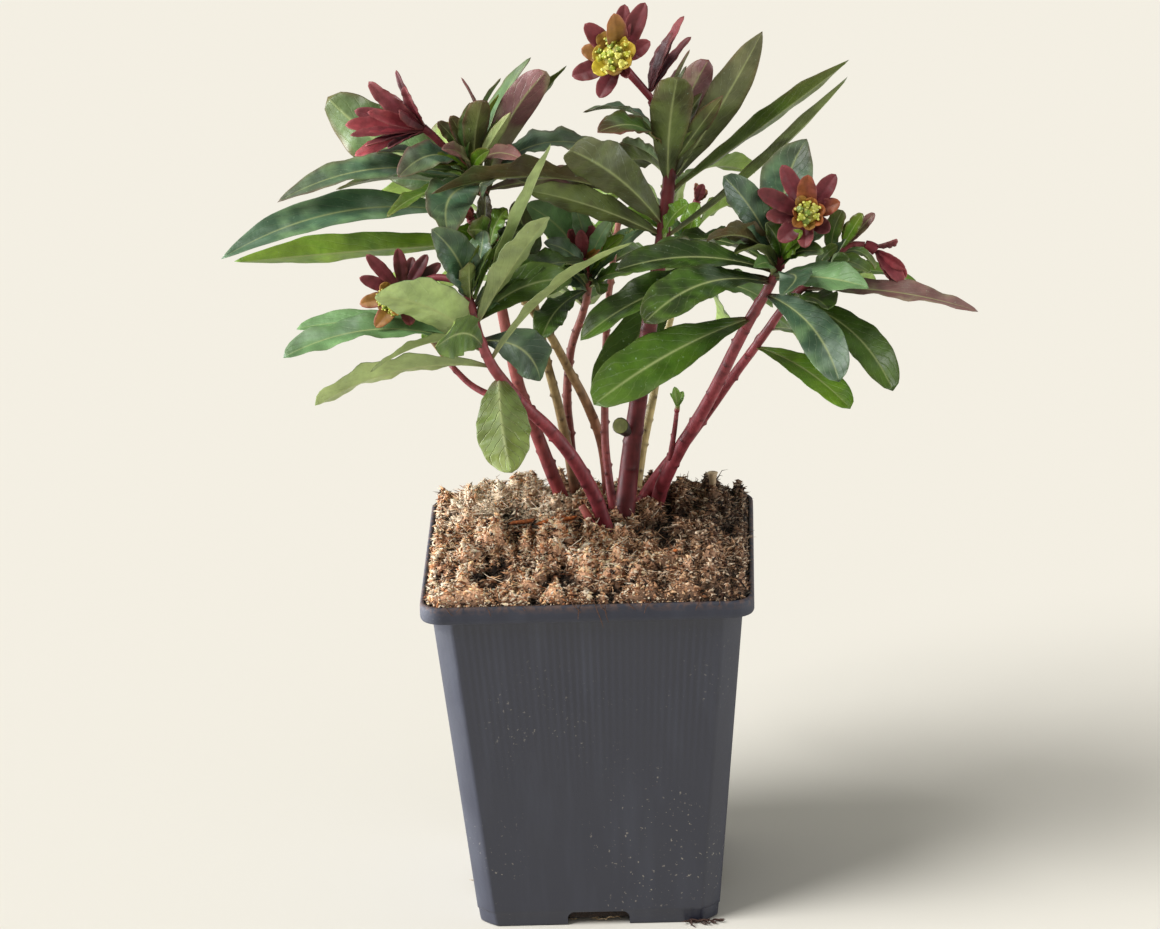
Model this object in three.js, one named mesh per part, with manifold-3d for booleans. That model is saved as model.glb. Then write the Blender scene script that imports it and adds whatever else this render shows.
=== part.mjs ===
// A young euphorbia, wine-red stems with whorls of narrow leaves and maroon flower heads,
// growing in coarse peat in a square 9 cm nursery pot. Millimetres, +Z up; the origin is the
// middle of the pot's underside and -Y is the front.
import * as THREE from 'three';
import { mergeVertices } from 'three/addons/utils/BufferGeometryUtils.js';
import Module from 'manifold-3d';

const wasm = await Module();
wasm.setup();

// ---- driving dimensions -------------------------------------------------------------------
const RIM_WIDTH = 90;          // the pot's outer width over its rim
const POT_HEIGHT = 98;
const BODY_WIDTH_TOP = 83.8;   // outer width just under the rim band
const BASE_WIDTH = 65.8;
const RIM_BAND = 5;            // height of the band round the top
const WALL = 1.3;
const FLOOR = 1.6;
const NOTCH_WIDTH = 17;        // drain slot through wall and floor, middle of each side
const NOTCH_HEIGHT = 4;
const NOTCH_DEPTH = 9;
const GAP = 0.3;               // clearance between neighbouring pieces
const SOIL_RISE = 4.2;         // how far the peat is heaped above the pot's top edge
const STEM_DEPTH = 15;         // length of each stem inside the peat
const LEAF_RIB = 0.45;         // half thickness of a blade along its midrib, before its width adds
const HOLD = 0.15;             // half of the gap between a bare stem and its leafy top
const FINEST = [0.08, 0.06, 0.04, 0.025, 0.015, 0.008, 0.003]; // facets finer than this merge
const CELLS = [1e-4, 1e-3, 3e-3]; // a body stays closed when its points are rounded this much

// The plant is laid out as it is seen from straight in front and a little above. A place is
// [across, up, deep]: where the sight line from EYE meets the upright plane through the pot's
// middle, and how far behind that plane the point lies.
const EYE = new THREE.Vector3(53.2, -1693.3, 706.8);

// Each stem: its route from the peat to its tip, its radius at both ends, and the height on the
// route where the leafy top begins. A side branch is fused to the leafy top that it grows from.
const STEMS = {
  front_left: {
    route: [[4.8, 103.4, 3.5], [2, 113, 1], [-3.5, 124, -4], [-10, 133, -9], [-17, 140.5, -15],
      [-21.5, 146.5, -19], [-25, 152, -23], [-28, 160, -26], [-29.5, 168, -28], [-31, 173, -28]],
    radius: [2.1, 1.1], leafyFrom: 145.5,
  },
  right_front: {
    route: [[18.5, 109.5, 19], [21, 117, 10.5], [25.5, 126, 5], [31, 135, 0], [36, 144, -6],
      [41, 154, -11], [46, 163.5, -16], [50.5, 171, -19], [53.5, 177, -20], [57, 184, -21]],
    radius: [2.05, 1.2], leafyFrom: 161,
  },
  centre: {
    route: [[9.5, 104.5, 9], [11.5, 120, 9.5], [14.3, 138, 8], [17.3, 156, 5], [20.5, 174, 3],
      [23.5, 192, 2], [25, 206, 1], [24, 217, 0], [21, 225, -2]],
    radius: [2.9, 1.3], leafyFrom: 181,
  },
  upper_left: {
    route: [[-6, 110, 22], [-9.5, 120, 20], [-14, 134, 17], [-17.5, 145, 14], [-20, 158, 12],
      [-22.5, 175, 10], [-24, 190, 8], [-25.2, 201, 6], [-28.5, 206.5, 5], [-32.5, 210.5, 4]],
    radius: [2.0, 1.0], leafyFrom: 181,
  },
  right_back: {
    route: [[13.2, 107.2, 14.5], [16.2, 114, 18.2], [21.5, 121.5, 19], [27, 128, 17],
      [33, 136, 12], [39, 144.5, 6], [45, 152.5, 0], [50.5, 160, -5], [54.5, 165.5, -8],
      [58.5, 170, -10], [64, 174.5, -12]],
    radius: [1.7, 1.0], leafyFrom: 153,
  },
  side_right: {
    route: [[62, 172.6, -11.4], [66, 176.5, -11], [70, 181, -10], [73.5, 183.3, -10],
      [77.2, 183.3, -10]],
    radius: [0.9, 0.7], leafyFrom: 0, branchOf: 'right_back',
  },
  mid: {
    route: [[-3.6, 114.5, 33], [-4.2, 131, 30], [-4.6, 143, 27], [-3, 156, 24], [0.5, 166, 20],
      [2.2, 173, 17], [2, 178, 14]],
    radius: [1.35, 0.9], leafyFrom: 164,
  },
  mid_left: {
    route: [[-3.2, 113, 28], [-4.5, 124, 25.5], [-7, 139, 22], [-9.8, 152, 19],
      [-11.5, 163, 16], [-14, 174, 11.5], [-18.5, 180.5, 6]],
    radius: [1.5, 0.9], leafyFrom: 160,
  },
  inner_left: {
    route: [[5.8, 111.5, 27], [4.6, 127, 26], [1, 139, 23], [-4, 150, 19], [-8.5, 159.5, 13.5],
      [-14, 168, 7], [-20, 177, 1], [-24.5, 185, -4], [-27, 190, -6]],
    radius: [1.5, 0.8], leafyFrom: 171,
  },
  back_right: {
    route: [[12.5, 110, 24], [14, 118, 26], [15.8, 128, 28], [18.3, 139, 30], [21, 152, 32],
      [25, 167, 34], [28, 181, 35], [30.5, 193, 36]],
    radius: [1.35, 0.8], leafyFrom: 158,
  },
  back: {
    route: [[7, 108, 14.5], [6, 118, 17], [5.3, 128, 19], [5.5, 138, 22], [6, 150, 27],
      [7, 165, 34], [9, 180, 40], [11, 192, 44]],
    radius: [1.25, 0.8], leafyFrom: 160,
  },
};

// Each leaf: height of its foot on the stem's route, then its tip's across, up and deep, its
// width, how far its midrib bows upward, and how its upper face is turned (0 towards the front,
// 90 up, 180 away).
const LEAVES = {
  front_left: [
    [158, -55.5, 172.3, -47, 14, 2.5, 142],
    [158, -77.5, 163.3, -20, 12, 2.5, 52],
    [156, -81.5, 155.2, -34, 12, 5.5, 50],
    [151.5, -73.5, 141.3, -32, 12, 3.5, 128],
    [160, -58, 150.5, -50, 7, 2, 70],
    [148.5, -20.5, 120.5, -36, 14.5, -1, 175],
    [159, -11.8, 146.7, -10, 15, 4, 14],
    [153, 14.5, 185.5, -44, 9, 2.5, 104],
    [163, -8, 193.5, -40, 11, 0, 128],
    [165, -6.5, 214, -38, 9, -1.5, 112],
    [164, -2, 175.5, -18, 13, 3, 28],
    [168, 2, 180, -4, 12, 3, 60],
    [171, -39.7, 190.7, -24, 11, 2, 22],
    [171, -25.5, 190, -20, 9, -1, 40],
    [170, -30, 181, -36, 6, 0, 150],
    [170, -27, 186, -30, 6, 0, 110],
    [157, -40, 157, -70, 12, 4, -20],
    [162, -52, 176, 4, 12, 4, 90],
  ],
  right_front: [
    [174, -0.5, 158, -36, 13.5, 5, 50],
    [173, 17, 162.5, -50, 13.5, 4.5, 34],
    [163, 2.5, 139.5, -54, 15.5, 1.5, 24],
    [176, 9.5, 177.5, -30, 12, 3, 46],
    [177, 20, 183.5, -10, 12, 4, 70],
    [178, 34.5, 185.5, -34, 9, 4, 130],
    [177.5, 39.5, 203.5, -36, 12, 1.5, 20],
    [178, 46.5, 196.5, -20, 10, 1, 20],
    [181, 62.2, 213.3, -4, 15.5, 3, 10],
    [175, 54.3, 169.3, -48, 9, 5, 20],
    [174, 78, 170.8, -38, 11.5, 1, 46],
    [170, 69.5, 144.3, -52, 15, 3.5, 14],
    [180, 64, 187, -34, 6, 0.5, 30],
    [179, 60, 184.5, -30, 6, 0.5, 40],
    [182, 47, 186, 14, 12, 4, 110],
    [178, 66, 196, 18, 13, 4, 110],
  ],
  centre: [
    [194, -39.5, 200.5, -24, 13, 5.5, 112],
    [190, -1.5, 212, -26, 14, 2, 165],
    [187, -13, 201, -12, 9, 1, 150],
    [200, 28, 231.5, -14, 13.5, 1, 178],
    [201, 51, 243.5, -2, 12.5, -1, 170],
    [204, 36.5, 236, 12, 11, 2, 176],
    [207, 31.5, 239, 16, 8, 2, 104],
    [199, 74, 235, 2, 11, -1.5, 126],
    [186, 73.5, 230.3, -12, 8.5, -4, 114],
    [203, 47.5, 228.5, 22, 8, 1, 150],
    [205, 43, 223, 26, 7, 0, 150],
    [211, 2.3, 222.3, 4, 7.5, 5, 80],
    [209, 6, 216.5, -14, 10, 4.5, 60],
    [206, 12.5, 214, 8, 7, 1, 100],
    [204, 9, 205, 18, 12, 4, 120],
    [210, 33, 213, 32, 11, 4, 110],
    [196, 48, 204, 34, 12, 5, 100],
    [190, 8, 199, 36, 12, 5, 110],
    [185, 30, 196, -14, 7, 1, 60],
  ],
  upper_left: [
    [203, -66, 228.5, 24, 15, -4, 160],
    [204, -81, 199.3, -6, 11, 5, 48],
    [200, -65, 202.5, 9, 9, 3, 80],
    [193, -97, 183.7, -14, 13, 6.5, 42],
    [187, -93.5, 183, 3, 11.5, -1, 128],
    [201, -51.5, 194.3, -12, 7, 3, 60],
    [206, -48, 205.5, -16, 9, 5, 40],
    [206, -54, 212.5, -4, 7, 2, 75],
    [206, -30, 233, 1, 8, 3, 90],
    [205, -24.5, 226.5, -5, 9.5, 1, 172],
    [206, -19.3, 232.5, 4, 6, 2, 105],
    [205, -20, 228, -1, 6, 1, 115],
    [204, -11, 238, 12, 9, 2, 60],
    [200, -7, 234, -8, 13.5, 3, 178],
    [199, -1.5, 235.5, 2, 9, 1.5, 120],
    [203, 6.5, 212, 8, 10, 5, 60],
    [201, 6, 204, 2, 7, 1, 150],
    [203, -35, 188, -38, 14, 5, 12],
    [196, -27.5, 183, -14, 10, 1, 10],
    [206, -40, 214, 40, 12, 4, 110],
    [200, -14, 204, 48, 13, 5, 110],
    [194, -55, 196, 36, 12, 5, 110],
  ],
  right_back: [
    [171, 107.5, 163.3, -24, 11, 3, 60],
    [167, 67, 165, -36, 12, 2, 80],
    [172, 91.5, 171.5, 2, 10, 3, 70],
    [173, 78.5, 175, -18, 7, 4, 70],
    [168, 84, 141.3, -42, 14, 4, 30],
    [155, 72.3, 136.5, -34, 11.5, 2.5, 36],
    [173, 72, 185, -20, 6, -1, 70],
    [165, 80, 170, 38, 12, 5, 100],
    [160, 62, 150, 32, 13, 3, 100],
  ],
  side_right: [
    [179, 71.5, 193, -6, 6, 1, 30],
    [181.5, 76.8, 192, -11, 5, 0, 30],
    [182.5, 80, 192, -9, 4, 0, 20],
    [178, 80, 176, -6, 6, 4, 60],
  ],
  mid: [
    [172.5, -11, 158.8, 10, 9, 2, 32],
    [176, 5, 171, 4, 5, 1, 60],
    [174, -14, 197, -2, 13, 3, 26],
    [172, -13.5, 179.5, 0, 10, 2, 30],
    [175, -4.5, 195, 12, 9, 2, 40],
    [174, 19.8, 190.5, 8, 8, 1, 60],
    [173, 14.5, 177, 0, 7, 1, 60],
    [170, 13, 196, 22, 9, 2, 60],
    [168, -24, 170, 52, 12, 4, 100],
    [168, 2, 168, 62, 13, 4, 90],
  ],
  mid_left: [
    [174, -17, 198, 18, 10, 1, 20],
    [172, -33, 178, 30, 12, 4, 60],
    [170, -40, 172, 44, 12, 4, 90],
    [176, -22, 176, -6, 8, 2, 30],
    [168, -10, 178, 46, 11, 3, 110],
  ],
  inner_left: [
    [186, -30, 190, -22, 9, 2, 30],
    [184, -19, 196, 2, 8, 1, 40],
    [180, -14, 190, -16, 8, 2, 60],
    [178, -34, 181, -16, 8, 2, 40],
  ],
  back_right: [
    [178, 4.5, 139.5, 0, 15, 0, 18],
    [182, 33, 196, 26, 7, 0, 40],
    [184, 50, 196, 52, 12, 4, 110],
    [180, 56, 180, 58, 13, 4, 90],
    [186, 30, 204, 64, 12, 3, 110],
    [176, 36, 160, 70, 13, 4, 80],
    [170, 52, 166, 40, 12, 4, 60],
    [183, 14, 192, 58, 11, 3, 110],
  ],
  back: [
    [184, -8, 186, 66, 13, 4, 110],
    [180, 24, 176, 76, 13, 4, 90],
    [176, -6, 168, 78, 12, 4, 80],
    [186, 14, 204, 70, 12, 3, 110],
    [186, 0, 200, 56, 10, 3, 110],
  ],
};

// Each flower head: the neck from the stem's tip to the heart, the neck's radius, the bracts as
// tip places with a width, and on an open head the yellow-green eye of cupped florets. A side
// tuft is a place on the neck and the bracts that grow from it.
const BLOOMS = {
  top: {
    neck: [[20.7, 225.8, -2.2], [18.3, 229, -3.5], [15, 233, -5.5], [12.6, 236, -7]],
    radius: 0.9,
    bracts: [[3.6, 246.9, -8, 6.5], [11.5, 249.6, -12, 7], [14.5, 252, -6, 6], [20, 252.3, -7, 6.5],
      [21, 241.5, -9, 5.5], [-0.3, 232.5, -9, 6.5], [6.8, 226.2, -13, 6], [14.5, 231.5, -15, 4],
      [2.5, 240, -6, 6]],
    eye: { place: [11, 238, -11.5], radius: 5.2, cups: 6 },
    side: [[20.2, 226.8, -2.6], [[30.3, 248.3, -2, 4.5], [27.2, 243.8, -6, 4.5],
      [32, 242.5, 3, 4], [24.5, 241, 1, 4]]],
  },
  right: {
    neck: [[57.3, 184.7, -21.1], [59, 187.6, -21.5], [61, 190.3, -22.5], [61.7, 191.6, -23]],
    radius: 0.9,
    bracts: [[55.3, 206.2, -20, 6], [48.5, 199.2, -25, 6], [62.3, 203.3, -27, 6.5],
      [69.8, 203.2, -23, 6], [70.8, 195.4, -25, 5.5], [67.7, 187, -27, 5.5], [54, 184.6, -28, 6.5],
      [61, 182.6, -29, 5.5], [50.6, 192, -24, 5.5]],
    eye: { place: [62, 192.3, -27], radius: 4.2, cups: 5 },
  },
  front_left: {
    neck: [[-31.7, 173.6, -28], [-34, 176, -27], [-39, 177, -25], [-44, 175, -24], [-48, 172.5, -24]],
    radius: 0.8,
    bracts: [[-57.6, 184, -23, 5.5], [-49, 185.6, -21, 5.5], [-41, 183.6, -20, 5],
      [-59.8, 177.5, -26, 5], [-56, 163.2, -30, 5.5], [-46.5, 163.5, -28, 5], [-60, 170, -24, 5]],
    eye: { place: [-51.8, 170.6, -27.5], radius: 3.6, cups: 5 },
  },
  upper_left: {
    neck: [[-33, 211.2, 4], [-35.5, 214, 3.5], [-38, 216.8, 3], [-40, 218.6, 2.5]],
    radius: 0.8,
    bracts: [[-54.8, 232.5, 3, 5], [-47.3, 235.5, 6, 3.5], [-45.2, 231, 1, 5],
      [-61.7, 220.5, -1, 5], [-59, 224.5, 4, 4.5], [-59.5, 211.8, 0, 5], [-50.5, 213.6, -4, 5],
      [-56.5, 228.5, -2, 4.5], [-50, 229, 9, 5]],
  },
  far_right: {
    neck: [[77.9, 183.1, -10], [78.8, 182.4, -10], [79.8, 181.3, -10], [80.6, 180, -10]],
    radius: 1.1,
    bracts: [[87.2, 172.3, -11, 4.5], [84.8, 171, -9, 4], [88.6, 175.2, -8, 4.5],
      [85.6, 183.8, -10, 4], [82.5, 171.5, -12, 3.5], [89.2, 178.6, -11, 4]],
  },
  mid_left: {
    neck: [[-18.9, 181.2, 5.5], [-19.4, 182.4, 5], [-19.9, 183.6, 4.5]],
    radius: 0.9,
    bracts: [[-19.6, 190, 3, 4], [-22.8, 189.4, 2, 4], [-21.2, 189.2, 5, 3.5]],
  },
  mid: {
    neck: [[1.9, 178.7, 13.6], [1.5, 180, 12.8], [1, 181.2, 12]],
    radius: 0.9,
    bracts: [[-2.5, 189.7, 11, 5], [4.2, 190.6, 11, 5], [-4, 179.5, 6, 4.5], [6.4, 184.5, 8, 4.5],
      [0.6, 189.5, 6, 4.5]],
  },
  inner_left: {
    neck: [[-27.4, 190.7, -6.3], [-28, 191.7, -6.7], [-28.6, 192.6, -7]],
    radius: 0.8,
    bracts: [[-32.6, 196.4, -8, 3.5], [-31, 197.6, -9, 3.5], [-29.4, 197, -6, 3.5]],
  },
  back_right: {
    neck: [[30.8, 193.7, 36], [31.3, 195, 36], [31.9, 196, 36]],
    radius: 0.75,
    bracts: [[34, 201.5, 35, 3.5], [32, 201.8, 36, 3], [35, 199.8, 37, 3.5]],
  },
};

// Small pieces: each is a row of short limbs [route, foot radius, tip radius] with leaves
// [foot place, tip across, up, deep, width, bow, face].
const SMALL_PIECES = {
  stub_red: {
    limbs: [[[[1, 104.2, 1.2], [-0.2, 107.5, 2], [-1.8, 110.6, 3]], 1.0, 0.75]],
    planted: true, colour: 'wine',
  },
  dry_stalk: {
    limbs: [[[[34, 111, 30], [34.2, 115, 30], [34.4, 119.2, 30]], 0.8, 1.0]],
    planted: true, colour: 'straw',
  },
  stub_cut: {
    limbs: [[[[11.2, 131.5, 5.5], [10.4, 132.5, 3.4], [9.7, 133.3, 1]], 1.5, 2.4]],
    colour: 'olive',
  },
  sprout_right: {
    limbs: [[[[25.2, 137.6, 3], [25.5, 139, 3]], 0.8, 0.6]],
    leaves: [[[25.3, 138, 3], 25.2, 143.6, 2, 3, 0, 20], [[25.4, 138.2, 3], 28.8, 142.6, 4, 3, 0, 30],
      [[25.3, 138, 3], 23.2, 141, 5, 2.5, 0, 60]],
    colour: 'leaf',
  },
  sprout_left: {
    limbs: [[[[-36.4, 152.7, -8.2], [-38.5, 156, -8.8], [-40.8, 159.4, -9.5]], 0.8, 0.9]],
    leaves: [[[-37.2, 153.8, -8.5], -34, 158.6, -6, 4.5, 0, 20],
      [[-40.2, 158.6, -9.2], -43.6, 161, -9, 3.5, 0, 30],
      [[-40, 158.4, -9.2], -39.6, 163, -11, 3.5, 0, 50]],
    colour: 'olive',
  },
};

// Bare twigs fused to a stem, [stem, route, foot radius, tip radius].
const TWIGS = [
  ['right_front', [[23.2, 119.5, 9], [23.2, 125, 5], [24.2, 131, 4], [25.1, 137, 3]], 0.9, 0.6],
  ['front_left', [[-17.5, 141.2, -15.5], [-24, 142.5, -13], [-30.5, 146, -10], [-36, 152, -8]],
    1.1, 0.75],
];

const COLOURS = {
  wine: [0x7a3444, 0.55],
  leaf: [0x4f7438, 0.5],
  olive: [0x7d7840, 0.6],
  bract: [0x7c2f38, 0.55],
  eye: [0xb9b53a, 0.5],
  pot: [0x4a4b50, 0.6],
  peat: [0x8a6a4c, 0.95],
  straw: [0xb79d78, 0.9],
};

// ---- places -------------------------------------------------------------------------------
function at([across, up, deep]) {
  const scale = (deep - EYE.y) / -EYE.y;
  return new THREE.Vector3(across, 0, up).sub(EYE).multiplyScalar(scale).add(EYE);
}

// The route as a smooth curve in [across, up, deep].
function curveOf(route) {
  const places = route.map((place) => new THREE.Vector3(...place));
  return new THREE.CatmullRomCurve3(places, false, 'catmullrom', 0.5);
}

function towards(from, to, reach) {
  return from.clone().addScaledVector(to.clone().sub(from).normalize(), reach);
}

// Share of the route, 0 to 1, at which it first reaches a height.
function shareAt(curve, up) {
  const steps = 400;
  for (let step = 0; step <= steps; step += 1) {
    if (curve.getPoint(step / steps).y >= up) return step / steps;
  }
  return 1;
}

function pointsAlong(curve, from, to, count) {
  return Array.from({ length: count + 1 }, (_, step) => {
    const place = curve.getPoint(from + (to - from) * step / count);
    return at(place.toArray());
  });
}

// ---- solids -------------------------------------------------------------------------------
function solidOf(geometry) {
  const bare = geometry.clone();
  bare.deleteAttribute('normal');
  bare.deleteAttribute('uv');
  const merged = mergeVertices(bare, 1e-5);
  return new wasm.Manifold(new wasm.Mesh({
    numProp: 3,
    vertProperties: new Float32Array(merged.attributes.position.array),
    triVerts: new Uint32Array(merged.index.array),
  }));
}

// Closed skin over rings of points that run anticlockwise about the way from first to last.
// The diagonals alternate round the ring, so the two faces of a blade are split alike.
function skin(first, rings, last) {
  const sides = rings[0].length;
  const points = [first, ...rings.flat(), last];
  const number = (ring, side) => 1 + ring * sides + (side % sides);
  const end = points.length - 1;
  const index = [];
  for (let side = 0; side < sides; side += 1) {
    index.push(0, number(0, side + 1), number(0, side));
    index.push(end, number(rings.length - 1, side), number(rings.length - 1, side + 1));
    for (let ring = 0; ring < rings.length - 1; ring += 1) {
      const a = number(ring, side);
      const b = number(ring, side + 1);
      const c = number(ring + 1, side + 1);
      const d = number(ring + 1, side);
      if (side % 2) index.push(a, b, d, b, c, d);
      else index.push(a, b, c, a, c, d);
    }
  }
  const geometry = new THREE.BufferGeometry().setFromPoints(points);
  geometry.setIndex(index);
  return solidOf(geometry);
}

// Round limb along points, its radius going evenly from one end to the other, and swollen in
// the middle by the share given.
function limb(points, radiusFrom, radiusTo, sides = 6, swell = 0) {
  const last = points.length - 1;
  const rings = [];
  let across = new THREE.Vector3(1, 0, 0);
  points.forEach((point, step) => {
    const before = points[Math.max(step - 1, 0)];
    const after = points[Math.min(step + 1, last)];
    const along = after.clone().sub(before).normalize();
    if (step === 0 && Math.abs(along.x) > 0.9) across = new THREE.Vector3(0, 1, 0);
    across = across.clone().addScaledVector(along, -along.dot(across)).normalize();
    const out = along.clone().cross(across);
    const share = step / last;
    const radius = (radiusFrom + (radiusTo - radiusFrom) * share)
      * (1 + swell * Math.sin(Math.PI * share));
    rings.push(Array.from({ length: sides }, (_, side) => {
      const angle = 2 * Math.PI * side / sides;
      return point.clone().addScaledVector(across, radius * Math.cos(angle))
        .addScaledVector(out, radius * Math.sin(angle));
    }));
  });
  return skin(points[0], rings, points[last]);
}

// Half width of a blade as a share of its half width at the widest: a narrow stalk, widest two
// thirds of the way out, and a blunt point.
function outline(share) {
  return Math.sin(Math.PI * share ** 1.45) ** 0.75 + 0.1 * (1 - share);
}

const LEAF_STATIONS = [0, 0.24, 0.48, 0.7, 0.89];
const SMALL_STATIONS = [0, 0.4, 0.75];
const SMALL_WIDTH = 9.5;         // blades up to this width have the fewer stations

function stationsFor(width) {
  return width > SMALL_WIDTH ? LEAF_STATIONS : SMALL_STATIONS;
}

// Blade from foot to tip: its midrib is a parabola that bows upward and lifts off its chord, its
// halves fold up from the midrib, and its edges wave. A section is a flat lozenge with its
// corners at the two edges and at the top and bottom of the rib.
function blade(foot, tip, width, bow, face, spare = 0) {
  const chord = tip.clone().sub(foot);
  const reach = chord.length();
  const along = chord.clone().normalize();
  const middle = foot.clone().add(tip).multiplyScalar(0.5);
  const front = EYE.clone().sub(middle);
  front.addScaledVector(along, -along.dot(front)).normalize();
  const rise = along.clone().cross(front);
  if (rise.z < 0) rise.negate();
  const turn = THREE.MathUtils.degToRad(face);
  const facing = front.clone().multiplyScalar(Math.cos(turn)).addScaledVector(rise, Math.sin(turn));
  const bend = middle.clone().addScaledVector(rise, 2 * bow).addScaledVector(facing, 0.05 * reach);
  const rings = stationsFor(width).map((share, step) => {
    const point = foot.clone().multiplyScalar((1 - share) ** 2)
      .addScaledVector(bend, 2 * share * (1 - share)).addScaledVector(tip, share ** 2);
    const tangent = bend.clone().sub(foot).multiplyScalar(1 - share)
      .addScaledVector(tip.clone().sub(bend), share).normalize();
    const across = facing.clone().cross(tangent).normalize();
    const up = tangent.clone().cross(across);
    const half = width / 2 * outline(share) + spare;
    const rib = (LEAF_RIB + 0.02 * width) * (1 - 0.25 * share) + spare;
    const fold = 0.22 * half;
    const wave = step % 2 ? 0.05 * width : 0;
    return [
      point.clone().addScaledVector(across, half).addScaledVector(up, fold + wave),
      point.clone().addScaledVector(up, rib),
      point.clone().addScaledVector(across, -half).addScaledVector(up, fold - wave),
      point.clone().addScaledVector(up, -rib),
    ];
  });
  return skin(foot, rings, tip.clone().addScaledVector(along, spare));
}

// The largest closed surface of a solid, so that a hollow shut in by fusing is filled and a
// loose scrap is dropped.
function outerBody(solid) {
  const { vertProperties, triVerts } = solid.getMesh();
  const parent = Array.from({ length: vertProperties.length / 3 }, (_, vertex) => vertex);
  const root = (vertex) => {
    let top = vertex;
    while (parent[top] !== top) top = parent[top];
    parent[vertex] = top;
    return top;
  };
  for (let corner = 0; corner < triVerts.length; corner += 3) {
    parent[root(triVerts[corner + 1])] = root(triVerts[corner]);
    parent[root(triVerts[corner + 2])] = root(triVerts[corner]);
  }
  const bodies = new Map();
  const place = (vertex) => new THREE.Vector3().fromArray(vertProperties, 3 * vertex);
  for (let corner = 0; corner < triVerts.length; corner += 3) {
    const [a, b, c] = triVerts.slice(corner, corner + 3);
    const body = bodies.get(root(a)) ?? { triangles: [], volume: 0 };
    body.triangles.push(a, b, c);
    body.volume += place(a).dot(place(b).cross(place(c)));
    bodies.set(root(a), body);
  }
  const [largest] = [...bodies.values()].sort((one, other) => other.volume - one.volume);
  const geometry = new THREE.BufferGeometry();
  geometry.setAttribute('position', new THREE.BufferAttribute(vertProperties, 3));
  geometry.setIndex(largest.triangles);
  return solidOf(geometry.toNonIndexed());
}

// Whether the surface is still closed, with two faces on every edge, once points that lie in the
// same cell of a fine grid are one.
function staysClosed(solid) {
  const { vertProperties, triVerts } = solid.getMesh();
  return CELLS.every((cell) => {
    const nameOf = (vertex) => [0, 1, 2]
      .map((side) => Math.round(vertProperties[3 * vertex + side] / cell)).join();
    const edges = new Map();
    for (let corner = 0; corner < triVerts.length; corner += 3) {
      const names = [...triVerts.slice(corner, corner + 3)].map(nameOf);
      if (new Set(names).size < 3) continue;
      names.forEach((name, side) => {
        const edge = `${name}>${names[(side + 1) % 3]}`;
        edges.set(edge, (edges.get(edge) ?? 0) + 1);
      });
    }
    return [...edges].every(([edge, count]) => {
      const [from, to] = edge.split('>');
      return count === 1 && edges.get(`${to}>${from}`) === 1;
    });
  });
}

// One body out of several that run into each other, with its slivers merged as far as leaves
// it closed.
function fuse(solids) {
  const whole = wasm.Manifold.union(solids);
  const bodies = FINEST.map((fineness) => outerBody(whole.simplify(fineness)));
  return bodies.find(staysClosed) ?? bodies[0];
}

// ---- keeping leaves clear of what stands near them ------------------------------------------
const standing = [];

function addStanding(owner, solid) {
  standing.push({ owner, solid, box: solid.boundingBox() });
}

function isClear(owner, solid) {
  const box = solid.boundingBox();
  return standing.every((other) => {
    if (other.owner === owner) return true;
    for (let side = 0; side < 3; side += 1) {
      if (box.max[side] < other.box.min[side] || box.min[side] > other.box.max[side]) return true;
    }
    return solid.intersect(other.solid).volume() < 1e-6;
  });
}

// A leaf that would cross a neighbour swings its tip nearer or farther along the line of sight.
const SWINGS = [0, 3, -3, 6, -6, 9, -9, 12, -12, 16, -16, 20, -20, 25, -25];

function placeLeaf(owner, middle, sunk, [across, up, deep, width, bow, face]) {
  for (const swing of SWINGS) {
    const tip = at([across, up, deep + swing]);
    const foot = towards(middle, tip, sunk);
    if (isClear(owner, blade(foot, tip, width, bow, face, GAP / 2 + 0.1))) {
      const leaf = blade(foot, tip, width, bow, face);
      addStanding(owner, leaf);
      return [leaf];
    }
  }
  return [];
}

// ---- pot ------------------------------------------------------------------------------------
// Square ring with its corners cut by `leg`: straight across at bulge 0, round at bulge 1.
function squareRing(halfWidth, leg, bulge, z, perSide = 0) {
  const points = [];
  const cornerSteps = 3;
  for (let corner = 0; corner < 4; corner += 1) {
    const outline = [];
    for (let step = 0; step <= cornerSteps; step += 1) {
      const share = step / cornerSteps;
      const angle = share * Math.PI / 2;
      const x = halfWidth - leg + leg * ((1 - bulge) * (1 - share) + bulge * Math.cos(angle));
      const y = halfWidth - leg + leg * ((1 - bulge) * share + bulge * Math.sin(angle));
      outline.push([x, y]);
    }
    for (let step = 1; step <= perSide; step += 1) {
      const share = step / (perSide + 1);
      outline.push([(halfWidth - leg) * (1 - 2 * share), halfWidth]);
    }
    const turn = corner * Math.PI / 2;
    for (const [x, y] of outline) {
      points.push(new THREE.Vector3(
        x * Math.cos(turn) - y * Math.sin(turn), x * Math.sin(turn) + y * Math.cos(turn), z));
    }
  }
  return points;
}

const UNDER_RIM = POT_HEIGHT - RIM_BAND;
const SLOPE = (BODY_WIDTH_TOP - BASE_WIDTH) / 2 / UNDER_RIM;

function bodyHalfWidth(z) {
  return BASE_WIDTH / 2 + SLOPE * z;
}

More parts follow.
